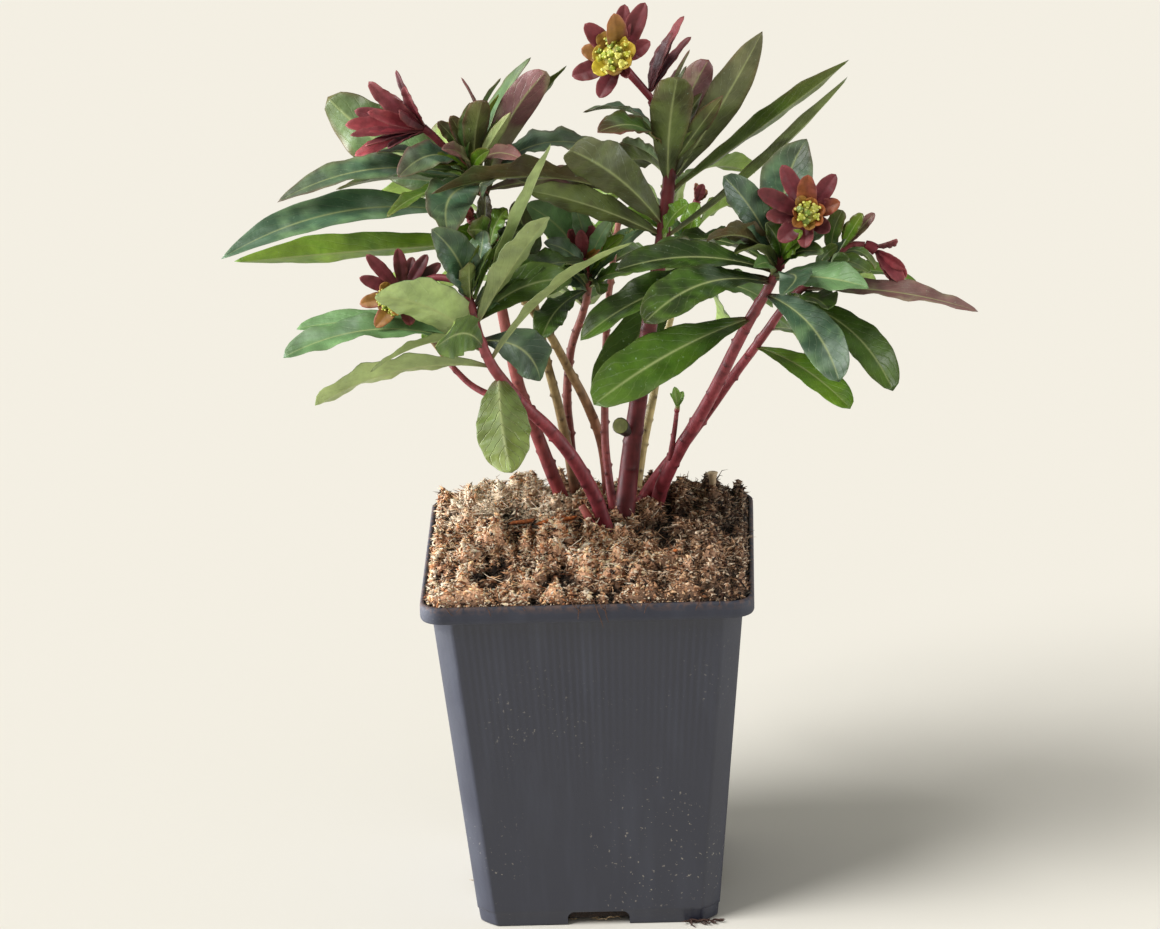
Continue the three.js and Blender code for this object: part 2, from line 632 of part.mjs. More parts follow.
function potShell() {
  const half = RIM_WIDTH / 2;
  const rings = [
    squareRing(bodyHalfWidth(0) - 0.8, 4.6, 0.2, 0),
    squareRing(bodyHalfWidth(0.9), 4.8, 0.2, 0.9),
    squareRing(bodyHalfWidth(4.2), 4.9, 0.2, 4.2),
    squareRing(bodyHalfWidth(UNDER_RIM), 5.4, 0.3, UNDER_RIM),
    squareRing(half - 0.5, 6, 1, UNDER_RIM + 0.2),
    squareRing(half, 6, 1, UNDER_RIM + 1.2),
    squareRing(half, 6, 1, POT_HEIGHT - 0.7),
    squareRing(half - 0.5, 5.8, 1, POT_HEIGHT),
    squareRing(half - WALL, 5.2, 1, POT_HEIGHT - 0.1),
    squareRing(half - WALL - 0.3, 5, 1, UNDER_RIM + 1.8),
    squareRing(bodyHalfWidth(UNDER_RIM) - WALL, 4.8, 0.3, UNDER_RIM - 1.2),
    squareRing(bodyHalfWidth(FLOOR) - WALL, 4.4, 0.2, FLOOR),
  ];
  return skin(new THREE.Vector3(0, 0, 0), rings, new THREE.Vector3(0, 0, FLOOR));
}

// Drain slot: a low arch with round shoulders, pushed in through the wall and the floor's edge.
function drainSlot() {
  const half = NOTCH_WIDTH / 2;
  const shoulder = 2;
  const arch = new THREE.Shape();
  arch.moveTo(-half, -1);
  arch.lineTo(half, -1);
  arch.lineTo(half, NOTCH_HEIGHT - shoulder);
  arch.absarc(half - shoulder, NOTCH_HEIGHT - shoulder, shoulder, 0, Math.PI / 2);
  arch.lineTo(-half + shoulder, NOTCH_HEIGHT);
  arch.absarc(-half + shoulder, NOTCH_HEIGHT - shoulder, shoulder, Math.PI / 2, Math.PI);
  arch.closePath();
  const geometry = new THREE.ExtrudeGeometry(arch, {
    depth: NOTCH_DEPTH + 2, bevelEnabled: false, curveSegments: 3,
  });
  geometry.rotateX(Math.PI / 2);
  geometry.translate(0, -BASE_WIDTH / 2 + NOTCH_DEPTH, 0);
  return geometry;
}

function pot() {
  let shell = potShell();
  for (let side = 0; side < 4; side += 1) {
    const slot = drainSlot().rotateZ(side * Math.PI / 2);
    shell = shell.subtract(solidOf(slot));
  }
  return fuse([shell]);
}

// ---- peat -----------------------------------------------------------------------------------
// Height of the peat: level with the pot's edge at the rim, heaped towards the stems and the
// back, with soft lumps.
function peatHeight(x, y) {
  const reach = RIM_WIDTH / 2 - WALL - GAP;
  const outward = Math.min(Math.max(Math.abs(x), Math.abs(y)) / reach, 1);
  const heap = SOIL_RISE * (1 - outward ** 6) * (1 + 0.25 * y / reach);
  const lumps = 0.7 * Math.sin(0.31 * x + 1.3) * Math.cos(0.27 * y - 0.6)
    + 0.4 * Math.sin(0.63 * x - 0.41 * y + 2);
  return POT_HEIGHT - 0.3 + heap + lumps * (1 - outward ** 6);
}

function peat() {
  const inside = (z) => bodyHalfWidth(z) - WALL - GAP;
  const top = RIM_WIDTH / 2 - WALL - 0.3 - GAP;
  const perSide = 4;
  const rings = [
    squareRing(inside(FLOOR + GAP), 4.3, 0.2, FLOOR + GAP, perSide),
    squareRing(inside(UNDER_RIM - 1.2), 4.7, 0.3, UNDER_RIM - 1.2, perSide),
    squareRing(top, 4.7, 1, UNDER_RIM + 2.4, perSide),
    squareRing(top, 4.7, 1, POT_HEIGHT - 0.6, perSide),
  ];
  for (const share of [0.95, 0.82, 0.62, 0.4, 0.2]) {
    const ring = squareRing(top * share, 4.7 * share, 1, 0, perSide);
    ring.forEach((point) => point.setZ(peatHeight(point.x, point.y)));
    rings.push(ring);
  }
  const peak = new THREE.Vector3(0, 0, peatHeight(0, 0));
  return skin(new THREE.Vector3(0, 0, FLOOR + GAP), rings, peak);
}

// ---- stems, leafy tops and flower heads --------------------------------------------------------
function planted(points, depth = STEM_DEPTH) {
  const foot = points[0];
  const below = (drop) => new THREE.Vector3(foot.x, foot.y, foot.z - drop);
  return [below(depth), below(2), ...points];
}

function radiusAt(stem, share) {
  return stem.radius[0] + (stem.radius[1] - stem.radius[0]) * share;
}

function bareStem(name, spare = 0) {
  const stem = STEMS[name];
  const curve = curveOf(stem.route);
  const top = shareAt(curve, stem.leafyFrom) - HOLD / curve.getLength();
  const points = planted(pointsAlong(curve, 0, top, 9), STEM_DEPTH + spare);
  return limb(points, stem.radius[0] + spare, radiusAt(stem, top) + spare);
}

function leafyAxis(name) {
  const stem = STEMS[name];
  const curve = curveOf(stem.route);
  const from = stem.branchOf ? 0 : shareAt(curve, stem.leafyFrom) + HOLD / curve.getLength();
  return limb(pointsAlong(curve, from, 1, 5), radiusAt(stem, from), stem.radius[1]);
}

// Frame of an open head's eye: its heart, the way it faces, and two directions across that.
function eyeFrame({ place }, neckEnd) {
  const heart = at(place);
  const facing = heart.clone().sub(neckEnd).normalize();
  const side = new THREE.Vector3(1, 0, 0).addScaledVector(facing, -facing.x).normalize();
  const rise = facing.clone().cross(side);
  const out = (reach, across = 0, up = 0) => heart.clone().addScaledVector(facing, reach)
    .addScaledVector(side, across).addScaledVector(rise, up);
  return out;
}

const EYE_BACK = 1.6;          // the bun's back behind its heart
const CUP_TOP = 2.4;           // the cups' rims in front of it

// Cupped florets of an open head: a low bun with small cups standing in a ring on it.
function floretEye(eye, neckEnd) {
  const out = eyeFrame(eye, neckEnd);
  const { radius, cups } = eye;
  const solids = [limb([out(-EYE_BACK), out(0), out(1.2)], 0.7 * radius, 0.6 * radius, 7, 0.3)];
  for (let cup = 0; cup <= cups; cup += 1) {
    const angle = 2 * Math.PI * cup / cups;
    const off = cup < cups ? 0.62 * radius : 0;
    const across = off * Math.cos(angle);
    const up = off * Math.sin(angle);
    const points = [out(-0.6, across, up), out(CUP_TOP, across, up)];
    solids.push(limb(points, 0.2 * radius, 0.32 * radius, 4));
  }
  return fuse(solids);
}

// Room that the eye takes out of the bracts round it.
function eyeRoom(eye, neckEnd) {
  const out = eyeFrame(eye, neckEnd);
  const points = [out(-EYE_BACK - GAP), out(CUP_TOP + 2 * GAP)];
  const radius = 0.94 * eye.radius + GAP;
  return limb(points, radius, radius, 8);
}

const HEART_HEIGHT = 0.9;

function bractHead({ neck, radius, bracts, eye, side }) {
  const points = neck.map(at);
  const heart = points[points.length - 1];
  const before = points[points.length - 2];
  const crown = heart.clone().add(heart.clone().sub(before).setLength(HEART_HEIGHT));
  const solids = [limb([...points, crown], radius, radius * 1.5)];
  bracts.forEach(([across, up, deep, width], order) => {
    const tip = at([across, up, deep]);
    const sunk = radius * (0.8 + 0.15 * (order % 3));
    solids.push(blade(towards(heart, tip, sunk), tip, width, 0, 10));
  });
  const [tuft, tuftBracts] = side ?? [heart.toArray(), []];
  tuftBracts.forEach(([across, up, deep, width]) => {
    const tip = at([across, up, deep]);
    solids.push(blade(towards(at(tuft), tip, radius), tip, width, 0, 60));
  });
  const head = wasm.Manifold.union(solids);
  return fuse([eye ? head.subtract(eyeRoom(eye, heart)) : head]);
}

// ---- assembly -------------------------------------------------------------------------------
const plant = new THREE.Group();
plant.name = 'potted_euphorbia';

function addPiece(name, solid, colour) {
  const { vertProperties, triVerts } = solid.getMesh();
  const geometry = new THREE.BufferGeometry();
  geometry.setAttribute('position', new THREE.BufferAttribute(vertProperties, 3));
  geometry.setIndex(new THREE.BufferAttribute(triVerts, 1));
  geometry.computeVertexNormals();
  const [hex, roughness] = COLOURS[colour];
  const material = new THREE.MeshStandardMaterial({ color: hex, roughness, metalness: 0 });
  const piece = new THREE.Mesh(geometry, material);
  piece.name = name;
  plant.add(piece);
}

const stemNames = Object.keys(STEMS).filter((name) => !STEMS[name].branchOf);
const stems = {};
for (const name of stemNames) stems[name] = [bareStem(name)];
for (const [name, route, from, to] of TWIGS) stems[name].push(limb(route.map(at), from, to, 5));
for (const name of stemNames) {
  stems[name] = fuse(stems[name]);
  addStanding(`stem_${name}`, stems[name]);
}

const shoots = {};
for (const name of Object.keys(STEMS)) {
  const owner = STEMS[name].branchOf ?? name;
  const axis = leafyAxis(name);
  shoots[owner] = [...(shoots[owner] ?? []), axis];
  addStanding(`shoot_${owner}`, axis);
}

const heads = {};
for (const [name, bloom] of Object.entries(BLOOMS)) {
  heads[name] = bractHead(bloom);
  addStanding(`bloom_${name}`, heads[name]);
  if (bloom.eye) {
    const heart = at(bloom.neck[bloom.neck.length - 1]);
    heads[`${name}_eye`] = floretEye(bloom.eye, heart);
    addStanding(`bloom_${name}_eye`, heads[`${name}_eye`]);
  }
}

const smallPieces = {};
for (const [name, { limbs, leaves = [], planted: inPeat }] of Object.entries(SMALL_PIECES)) {
  const solids = limbs.map(([route, from, to]) => {
    const points = route.map(at);
    return limb(inPeat ? planted(points, STEM_DEPTH / 2) : points, from, to);
  });
  for (const [foot, across, up, deep, width, bow, face] of leaves) {
    solids.push(blade(at(foot), at([across, up, deep]), width, bow, face));
  }
  smallPieces[name] = fuse(solids);
  addStanding(name, smallPieces[name]);
}

for (const [name, rows] of Object.entries(LEAVES)) {
  const owner = STEMS[name].branchOf ?? name;
  const curve = curveOf(STEMS[name].route);
  for (const [up, ...row] of rows) {
    const share = shareAt(curve, up);
    const middle = at(curve.getPoint(share).toArray());
    const sunk = 0.5 * radiusAt(STEMS[name], share);
    shoots[owner].push(...placeLeaf(`shoot_${owner}`, middle, sunk, row));
  }
}

let soil = peat();
for (const name of stemNames) soil = soil.subtract(bareStem(name, GAP));
for (const { limbs, planted: inPeat } of Object.values(SMALL_PIECES)) {
  if (!inPeat) continue;
  const [route, from, to] = limbs[0];
  soil = soil.subtract(limb(planted(route.map(at), STEM_DEPTH / 2 + GAP), from + GAP, to + GAP));
}

addPiece('pot', pot(), 'pot');
addPiece('soil', fuse([soil]), 'peat');
for (const name of stemNames) addPiece(`stem_${name}`, stems[name], 'wine');
for (const name of stemNames) addPiece(`shoot_${name}`, fuse(shoots[name]), 'leaf');
for (const [name, head] of Object.entries(heads)) {
  addPiece(`bloom_${name}`, head, name.endsWith('_eye') ? 'eye' : 'bract');
}
for (const [name, solid] of Object.entries(smallPieces)) {
  addPiece(name, solid, SMALL_PIECES[name].colour);
}

export default plant;
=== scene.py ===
import bpy
import numpy as np
from mathutils import Matrix, Vector


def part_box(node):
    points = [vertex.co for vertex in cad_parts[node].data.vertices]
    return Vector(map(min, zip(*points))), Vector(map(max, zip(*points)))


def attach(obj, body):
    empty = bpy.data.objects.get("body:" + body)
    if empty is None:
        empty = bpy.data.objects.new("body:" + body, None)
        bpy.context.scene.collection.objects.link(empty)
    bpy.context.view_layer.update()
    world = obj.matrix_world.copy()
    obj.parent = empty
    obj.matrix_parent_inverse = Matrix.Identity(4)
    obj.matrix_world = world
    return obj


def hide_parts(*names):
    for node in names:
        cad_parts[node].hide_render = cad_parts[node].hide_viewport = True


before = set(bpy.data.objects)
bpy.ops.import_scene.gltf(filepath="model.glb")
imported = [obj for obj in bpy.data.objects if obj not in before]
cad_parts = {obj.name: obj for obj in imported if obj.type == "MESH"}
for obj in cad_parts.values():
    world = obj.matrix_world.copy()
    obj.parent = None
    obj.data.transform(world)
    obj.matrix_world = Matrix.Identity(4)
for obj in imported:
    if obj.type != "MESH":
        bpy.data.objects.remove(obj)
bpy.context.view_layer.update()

# ---- stage ------------------------------------------------------------------------------------
# A wide pale floor, a pale sky, a broad soft light from the upper left and three soft boxes. The
# camera stands 1.8 m in front of the pot and looks down 19 degrees. The plant is laid out from
# that same place, EYE.
MM = 0.001
EYE = np.array([53.2, -1693.3, 706.8])          # mm
YAW, PITCH, ROLL = np.radians([-1.86, 19.03, -2.03])
FOCAL_LENGTH_PER_WIDTH = 5.655                  # lens length over the width of the picture
SENSOR_WIDTH = 36.0
FLOOR_SIZE = 14.0                               # m
FAR_CLIP = 60                                   # m
DAYLIGHT_FROM, DAYLIGHT, DAYLIGHT_SPREAD = (-1.3, -0.7, 1.7), 3.0, 34   # direction, W/m2, degrees
DAYLIGHT_COLOUR, BOX_COLOUR = (1.0, 0.985, 0.965), (0.93, 0.965, 1.0)
SKY_STRENGTH = 0.4
FLOOR_ROUGHNESS = 0.9
SOFT_BOXES = {                                  # place (m), width and height (m), power (W)
    "box_left": ((-0.8, 0.02, 0.13), (0.5, 0.25), 2.0),
    "box_right": ((1.1, -0.2, 0.25), (0.6, 0.4), 1.6),
    "box_pot": ((-0.8, 0.02, 0.06), (0.5, 0.25), 4.2),
}
BOX_SPREAD = 80                                 # degrees
AIM = (0.0, 0.0, 0.13)


def paint(red, green, blue):
    """Linear colour of a screen colour given as 0 to 255: above a small toe, ((c + 0.055) / 1.055)
    to the power 2.4."""
    share = np.array([red, green, blue], float) / 255
    return np.where(share <= 0.04045, share / 12.92, ((share + 0.055) / 1.055) ** 2.4)


def link(thing):
    bpy.context.scene.collection.objects.link(thing)
    return thing


SKY_COLOUR, FLOOR_COLOUR = paint(246, 244, 238), paint(236, 233, 224)

forward = np.array([np.sin(YAW) * np.cos(PITCH), np.cos(YAW) * np.cos(PITCH), -np.sin(PITCH)])
level = np.array([np.cos(YAW), -np.sin(YAW), 0])
lift = np.cross(level, forward)
camera_x = np.cos(ROLL) * level + np.sin(ROLL) * lift
camera_y = np.cos(ROLL) * lift - np.sin(ROLL) * level
camera_place = np.eye(4)
camera_place[:3] = np.column_stack([camera_x, camera_y, -forward, EYE * MM])
camera_data = bpy.data.cameras.new("camera")
camera_data.sensor_fit = "HORIZONTAL"
camera_data.sensor_width = SENSOR_WIDTH
camera_data.lens = SENSOR_WIDTH * FOCAL_LENGTH_PER_WIDTH
camera_data.clip_end = FAR_CLIP
camera = link(bpy.data.objects.new("camera", camera_data))
camera.matrix_world = Matrix(camera_place.tolist())
bpy.context.scene.camera = camera
bpy.context.scene.view_settings.view_transform = "Standard"


def lamp_at(name, kind, place, aim, power):
    """The stand of a light at a place that points at aim."""
    lamp = bpy.data.lights.new(name, kind)
    lamp.energy = power
    stand = link(bpy.data.objects.new(name, lamp))
    stand.location = place
    stand.rotation_euler = (Vector(aim) - Vector(place)).to_track_quat("-Z", "Y").to_euler()
    stand.visible_camera = False
    return stand


daylight = lamp_at("daylight", "SUN", DAYLIGHT_FROM, (0, 0, 0), DAYLIGHT)
daylight.data.angle = np.radians(DAYLIGHT_SPREAD)
daylight.data.color = DAYLIGHT_COLOUR
sky = bpy.data.worlds.new("pale_sky")
sky.use_nodes = True
background = sky.node_tree.nodes["Background"]
background.inputs["Color"].default_value = (*SKY_COLOUR, 1)
background.inputs["Strength"].default_value = SKY_STRENGTH
bpy.context.scene.world = sky

half_floor = FLOOR_SIZE / 2
floor_mesh = bpy.data.meshes.new("floor")
floor_mesh.from_pydata(
    [(-half_floor, -half_floor, 0), (half_floor, -half_floor, 0),
     (half_floor, half_floor, 0), (-half_floor, half_floor, 0)], [], [(0, 1, 2, 3)])
floor_material = bpy.data.materials.new("pale_floor")
floor_material.use_nodes = True
floor_shader = floor_material.node_tree.nodes["Principled BSDF"]
floor_shader.inputs["Base Color"].default_value = (*FLOOR_COLOUR, 1)
floor_shader.inputs["Roughness"].default_value = FLOOR_ROUGHNESS
floor_mesh.materials.append(floor_material)
floor = link(bpy.data.objects.new("floor", floor_mesh))

# The soft boxes are kept off the floor, which stays even, and box_pot lights the pot alone.
only_pot = bpy.data.collections.new("only_pot")
off_floor = bpy.data.collections.new("off_floor")
off_floor.objects.link(floor)
off_floor.collection_objects[0].light_linking.link_state = "EXCLUDE"
for name, (place, (width, tall), power) in SOFT_BOXES.items():
    stand = lamp_at(name, "AREA", place, AIM, power)
    box = stand.data
    box.shape = "RECTANGLE"
    box.size, box.size_y = width, tall
    box.spread = np.radians(BOX_SPREAD)
    box.color = BOX_COLOUR
    stand.light_linking.receiver_collection = only_pot if name == "box_pot" else off_floor

# ---- pot --------------------------------------------------------------------------------------
# A thin square nursery pot of dark grey plastic, moulded in one shot: a rolled rim band, cut
# corners, faint upright flutes down each wall, and a low drain slot in the middle of each side.
pot_high = np.array(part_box("pot")[1]) / MM
RIM_HALF, POT_HEIGHT = pot_high[0], pot_high[2]
BODY_HALF_TOP = RIM_HALF - 3.1                  # outer half width just under the rim band
BODY_HALF_FOOT = RIM_HALF - 12.1
RIM_BAND = 5.0
WALL = 1.3
POT_FLOOR = 1.6
SLOT_WIDTH, SLOT_HEIGHT, SLOT_DEPTH, SLOT_SHOULDER = 17.0, 4.0, 9.0, 2.0
FLUTES, FLUTE_DEPTH = 36, 0.15                  # flutes on a wall, how deep they are
FLUTES_START, FLUTES_FULL = 34, 74              # heights between which they come up
CORNER_STEPS, SIDE_STEPS = 8, 204
SHARP_FROM = 38                                 # degrees; flatter edges are shaded round
UNDER_RIM = POT_HEIGHT - RIM_BAND
PLASTIC, SCUFF = paint(29, 32, 47), paint(76, 82, 98)
DIRT, PEAT_DUST = paint(132, 126, 116), paint(86, 62, 52)


def toward(one, other, share):
    """one at share 0, other at share 1, and evenly mixed between them."""
    return one * (1 - share) + other * share


def closed_skin(first, rings, last, **looks):
    """Closed surface over rings, an array (ring, place on the ring, 3), with a pole at each end.
    Each ring runs anticlockwise about the way from first to last. looks are arrays with a value
    for each vertex: poles take the value of the ring next to them."""
    count, around = rings.shape[:2]
    points = np.vstack([rings.reshape(-1, 3), first, last])
    side = np.arange(around)
    after = (side + 1) % around
    start = np.arange(count - 1)[:, None] * around
    quads = np.stack([start + side, start + after, start + around + after,
                      start + around + side], -1).reshape(-1, 4)
    top = (count - 1) * around
    caps = np.vstack([
        np.column_stack([np.full(around, count * around), after, side]),
        np.column_stack([np.full(around, count * around + 1), top + side, top + after])])
    made = {"points": points, "quads": quads, "caps": caps}
    for key, value in looks.items():
        value = np.broadcast_to(value, (count, around, value.shape[-1]))
        made[key] = np.vstack([value.reshape(count * around, -1), value[0, 0], value[-1, 0]])
    return made


def mesh_of(name, skins):
    """Mesh in metres out of closed skins in mm. The colour of each vertex goes into the
    attribute tint, and its place along and across a blade, with how strongly the blade's veins
    show, into the attribute grain."""
    base = np.cumsum([0] + [len(skin["points"]) for skin in skins])
    points = np.vstack([skin["points"] for skin in skins]) * MM
    quads = np.vstack([skin["quads"] + shift for skin, shift in zip(skins, base)])
    caps = np.vstack([skin["caps"] + shift for skin, shift in zip(skins, base)])
    mesh = bpy.data.meshes.new(name)
    mesh.vertices.add(len(points))
    mesh.vertices.foreach_set("co", points.ravel())
    mesh.loops.add(quads.size + caps.size)
    mesh.loops.foreach_set("vertex_index", np.concatenate([quads.ravel(), caps.ravel()]))
    mesh.polygons.add(len(quads) + len(caps))
    starts = np.concatenate([np.arange(len(quads)) * 4, quads.size + np.arange(len(caps)) * 3])
    mesh.polygons.foreach_set("loop_start", starts)
    mesh.polygons.foreach_set("use_smooth", np.ones(len(starts), bool))
    if "tint" in skins[0]:
        tint = np.vstack([skin["tint"] for skin in skins])
        colours = mesh.attributes.new("tint", "FLOAT_COLOR", "POINT")
        colours.data.foreach_set("color", np.column_stack([tint, np.ones(len(tint))]).ravel())
    if "grain" in skins[0]:
        grain = mesh.attributes.new("grain", "FLOAT_VECTOR", "POINT")
        grain.data.foreach_set("vector", np.vstack([skin["grain"] for skin in skins]).ravel())
    mesh.update(calc_edges=True)
    mesh.validate()
    return mesh


def dress(name, mesh, material, slot, *nodes):
    """Puts the finished mesh in the scene as a piece that stands for its CAD nodes."""
    mesh.materials.append(material)
    piece = link(bpy.data.objects.new(name, mesh))
    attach(piece, "root")
    if nodes:
        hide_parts(*nodes)
    return piece


def pot_ring(half_width, leg, bulge, height, flute=0.0):
    """Square ring with its corners cut by leg, straight across at bulge 0 and round at bulge 1.
    flute is how far its grooves go in: waves cos(n pi x) across each wall, x from 1 to -1, that
    are uneven in depth and run out at the corners."""
    share = np.linspace(0, 1, CORNER_STEPS)
    angle = share * np.pi / 2
    corner = half_width - leg + leg * np.array([toward(1 - share, np.cos(angle), bulge),
                                                toward(share, np.sin(angle), bulge)])
    along = np.linspace(1, -1, SIDE_STEPS + 2)[1:-1]
    groove = flute * (0.5 + 0.5 * np.cos(FLUTES * np.pi * along)) * (1 - along ** 8)
    groove *= 0.7 + 0.3 * np.sin(7 * along + 1)
    wall = np.array([(half_width - leg) * along, half_width - groove])
    quarter = np.hstack([corner, wall])
    x, y = quarter
    x, y = np.hstack([quarter, (-y, x), (-x, -y), (y, -x)])
    return np.column_stack([x, y, np.full(len(x), height)])


def wall_half(height):
    """Outer half width of the wall: it leans out evenly from the foot to the rim band."""
    return toward(BODY_HALF_FOOT, BODY_HALF_TOP, height / UNDER_RIM)


# Rings from the foot up the outside, over the rim and down the inside: half width, how far the
# corners are cut, how round the cut is, height, and depth of the flutes.
foot_half, top_half = wall_half(0), wall_half(UNDER_RIM)
profile = [(foot_half - 0.9, 4.5, 0.2, 0), (foot_half - 0.45, 4.7, 0.2, 0.25),
           (foot_half - 0.25, 4.8, 0.2, 0.9), (wall_half(3.9) - 0.25, 4.9, 0.2, 3.9),
           (wall_half(4.2), 4.9, 0.2, 4.25)]
for height in np.linspace(5, UNDER_RIM - 0.6, 22):
    fade = np.clip((height - FLUTES_START) / (FLUTES_FULL - FLUTES_START), 0, 1) ** 1.3
    profile.append((wall_half(height), 4.9 + 0.5 * height / UNDER_RIM, 0.25, height,
                    FLUTE_DEPTH * fade))
profile += [
    (top_half + 0.1, 5.4, 0.35, UNDER_RIM - 0.1), (RIM_HALF - 0.8, 5.9, 0.9, UNDER_RIM + 0.05),
    (RIM_HALF - 0.25, 6, 1, UNDER_RIM + 0.3), (RIM_HALF, 6, 1, UNDER_RIM + 0.9),
    (RIM_HALF, 6, 1, POT_HEIGHT - 1.0), (RIM_HALF - 0.12, 6, 1, POT_HEIGHT - 0.45),
    (RIM_HALF - 0.45, 5.8, 1, POT_HEIGHT - 0.1), (RIM_HALF - 0.75, 5.6, 1, POT_HEIGHT),
    (RIM_HALF - 1.1, 5.4, 1, POT_HEIGHT - 0.1), (RIM_HALF - WALL, 5.2, 1, POT_HEIGHT - 0.5),
    (RIM_HALF - WALL - 0.3, 5, 1, UNDER_RIM + 1.8), (top_half - WALL, 4.8, 0.3, UNDER_RIM - 1.2),
    (wall_half(POT_FLOOR) - WALL, 4.4, 0.2, POT_FLOOR)]
pot_shell = closed_skin(np.zeros(3), np.array([pot_ring(*row) for row in profile]),
                        np.array([0, 0, POT_FLOOR]))

# Each slot is cut with an arch: straight sides, round shoulders and a flat top.
shoulder = SLOT_SHOULDER * np.array([np.cos(np.linspace(0, np.pi / 2, 7)),
                                    np.sin(np.linspace(0, np.pi / 2, 7))])
side_x, side_z = SLOT_WIDTH / 2 - SLOT_SHOULDER, SLOT_HEIGHT - SLOT_SHOULDER
arch_x = np.hstack([-SLOT_WIDTH / 2, SLOT_WIDTH / 2, side_x + shoulder[0], -side_x - shoulder[1]])
arch_z = np.hstack([-1, -1, side_z + shoulder[1], side_z + shoulder[0]])
QUARTER_TURNS = np.array([[[np.cos(turn), np.sin(turn), 0], [-np.sin(turn), np.cos(turn), 0],
                           [0, 0, 1]] for turn in np.arange(4) * np.pi / 2])
arches = np.array([np.column_stack([arch_x, np.full(len(arch_x), y), arch_z])
                   for y in (-BODY_HALF_FOOT + SLOT_DEPTH, -BODY_HALF_FOOT - 2)])
slot_cutters = [closed_skin(arches[0].mean(0) @ turn, arches @ turn, arches[1].mean(0) @ turn)
                for turn in QUARTER_TURNS]
whole_pot = link(bpy.data.objects.new("whole_pot", mesh_of("whole_pot", [pot_shell])))
slot_cutter = link(bpy.data.objects.new("slot_cutter", mesh_of("slot_cutter", slot_cutters)))
cut = whole_pot.modifiers.new("drain_slots", "BOOLEAN")
cut.operation = "DIFFERENCE"
cut.solver = "EXACT"
cut.object = slot_cutter
bpy.context.view_layer.update()
graph = bpy.context.evaluated_depsgraph_get()
pot_mesh = bpy.data.meshes.new_from_object(whole_pot.evaluated_get(graph))
pot_mesh.name = "pot_wall"
pot_mesh.set_sharp_from_angle(angle=np.radians(SHARP_FROM))
bpy.data.objects.remove(whole_pot)
bpy.data.objects.remove(slot_cutter)


class Finish:
    """A material being built: each call adds one node, links its inputs and returns its output."""

    def __init__(self, name):
        self.material = bpy.data.materials.new(name)
        self.material.use_nodes = True
        self.tree = self.material.node_tree

    def fill(self, node, inputs):
        """Sets each named input to its value, or links it to another node's output."""
        for key, value in inputs.items():
            if isinstance(value, bpy.types.NodeSocket):
                self.tree.links.new(value, node.inputs[key])
            else:
                node.inputs[key].default_value = value

    def put(self, kind, inputs, output=0, **settings):
        """The output, by its number or name, of a new node of that kind."""
        node = self.tree.nodes.new(kind)
        for key, value in settings.items():
            setattr(node, key, value)
        self.fill(node, inputs)
        return node.outputs[output]

    def place(self):
        """Where the point lies on the piece, in metres."""
        return self.put("ShaderNodeTexCoord", {}, "Object")

    def stretched(self, x, y, z):
        """The place with each direction scaled by its own factor."""
        return self.put("ShaderNodeMapping", {"Vector": self.place(), "Scale": (x, y, z)})

    def noise(self, scale, detail, where=None):
        """Noise of about 0.3 to 0.7, finer the larger its scale."""
        return self.put("ShaderNodeTexNoise", {
            "Vector": self.place() if where is None else where, "Scale": scale,
            "Detail": detail, "Roughness": 0.55}, "Fac")

    def step(self, value, low, high, to_low=0.0, to_high=1.0):
        """value mapped evenly from low..high to to_low..to_high, and held there beyond."""
        return self.put("ShaderNodeMapRange", {
            "Value": value, "From Min": low, "From Max": high,
            "To Min": to_low, "To Max": to_high})

    def cloud(self, scale, detail, low, high, where=None):
        """The same noise spread to run from low to high."""
        return self.step(self.noise(scale, detail, where), 0.3, 0.7, low, high)

    def maths(self, operation, *values):
        return self.put("ShaderNodeMath", dict(enumerate(values)), operation=operation)

    def times(self, one, other):
        return self.maths("MULTIPLY", one, other)

    def mix(self, share, one, other, blend="MIX"):
        """one at share 0 and other at share 1; each is a colour or a linked output."""
        sockets = {0: share, 6: one, 7: other}
        sockets = {key: (*value, 1) if isinstance(value, np.ndarray) else value
                   for key, value in sockets.items()}
        return self.put("ShaderNodeMix", sockets, 2, data_type="RGBA", blend_type=blend)

    def tinted(self, factor):
        """The mesh's own tint, paler or darker by a factor."""
        tint = self.put("ShaderNodeAttribute", {}, "Color", attribute_name="tint")
        return self.mix(1.0, tint, factor, "MULTIPLY")

    def bump(self, height, distance, strength):
        return self.put("ShaderNodeBump", {
            "Height": height, "Distance": distance, "Strength": strength})

    def finish(self, inputs):
        """The material, with those inputs of its surface."""
        self.fill(self.tree.nodes["Principled BSDF"], inputs)
        return self.material


plastic = Finish("grey_plastic")
height_up = plastic.put("ShaderNodeSeparateXYZ", {"Vector": plastic.place()}, "Z")
# Pale scuffs run upright, specks of dirt lie in patches low down, and peat dust on the rim.
scuffs = plastic.step(plastic.noise(160, 4, plastic.stretched(1, 1, 0.12)), 0.5, 0.8)
grey = plastic.mix(plastic.times(scuffs, 0.16), PLASTIC, SCUFF)
patches = plastic.step(plastic.noise(30, 3), 0.5, 0.6)
low_down = plastic.step(height_up, 0.075, 0.02, 0.3, 1)
specks = plastic.step(plastic.noise(1000, 2), 0.665, 0.72)
specks = plastic.times(specks, plastic.times(patches, low_down))
grey = plastic.mix(specks, grey, DIRT)
dusty_rim = plastic.times(plastic.step(height_up, 0.0956, 0.0976),
                          plastic.step(plastic.noise(700, 4), 0.42, 0.62))
grey = plastic.mix(plastic.times(dusty_rim, 0.7), grey, PEAT_DUST)
matt_rim = plastic.step(height_up, 0.0925, 0.0945, 0, 0.3)
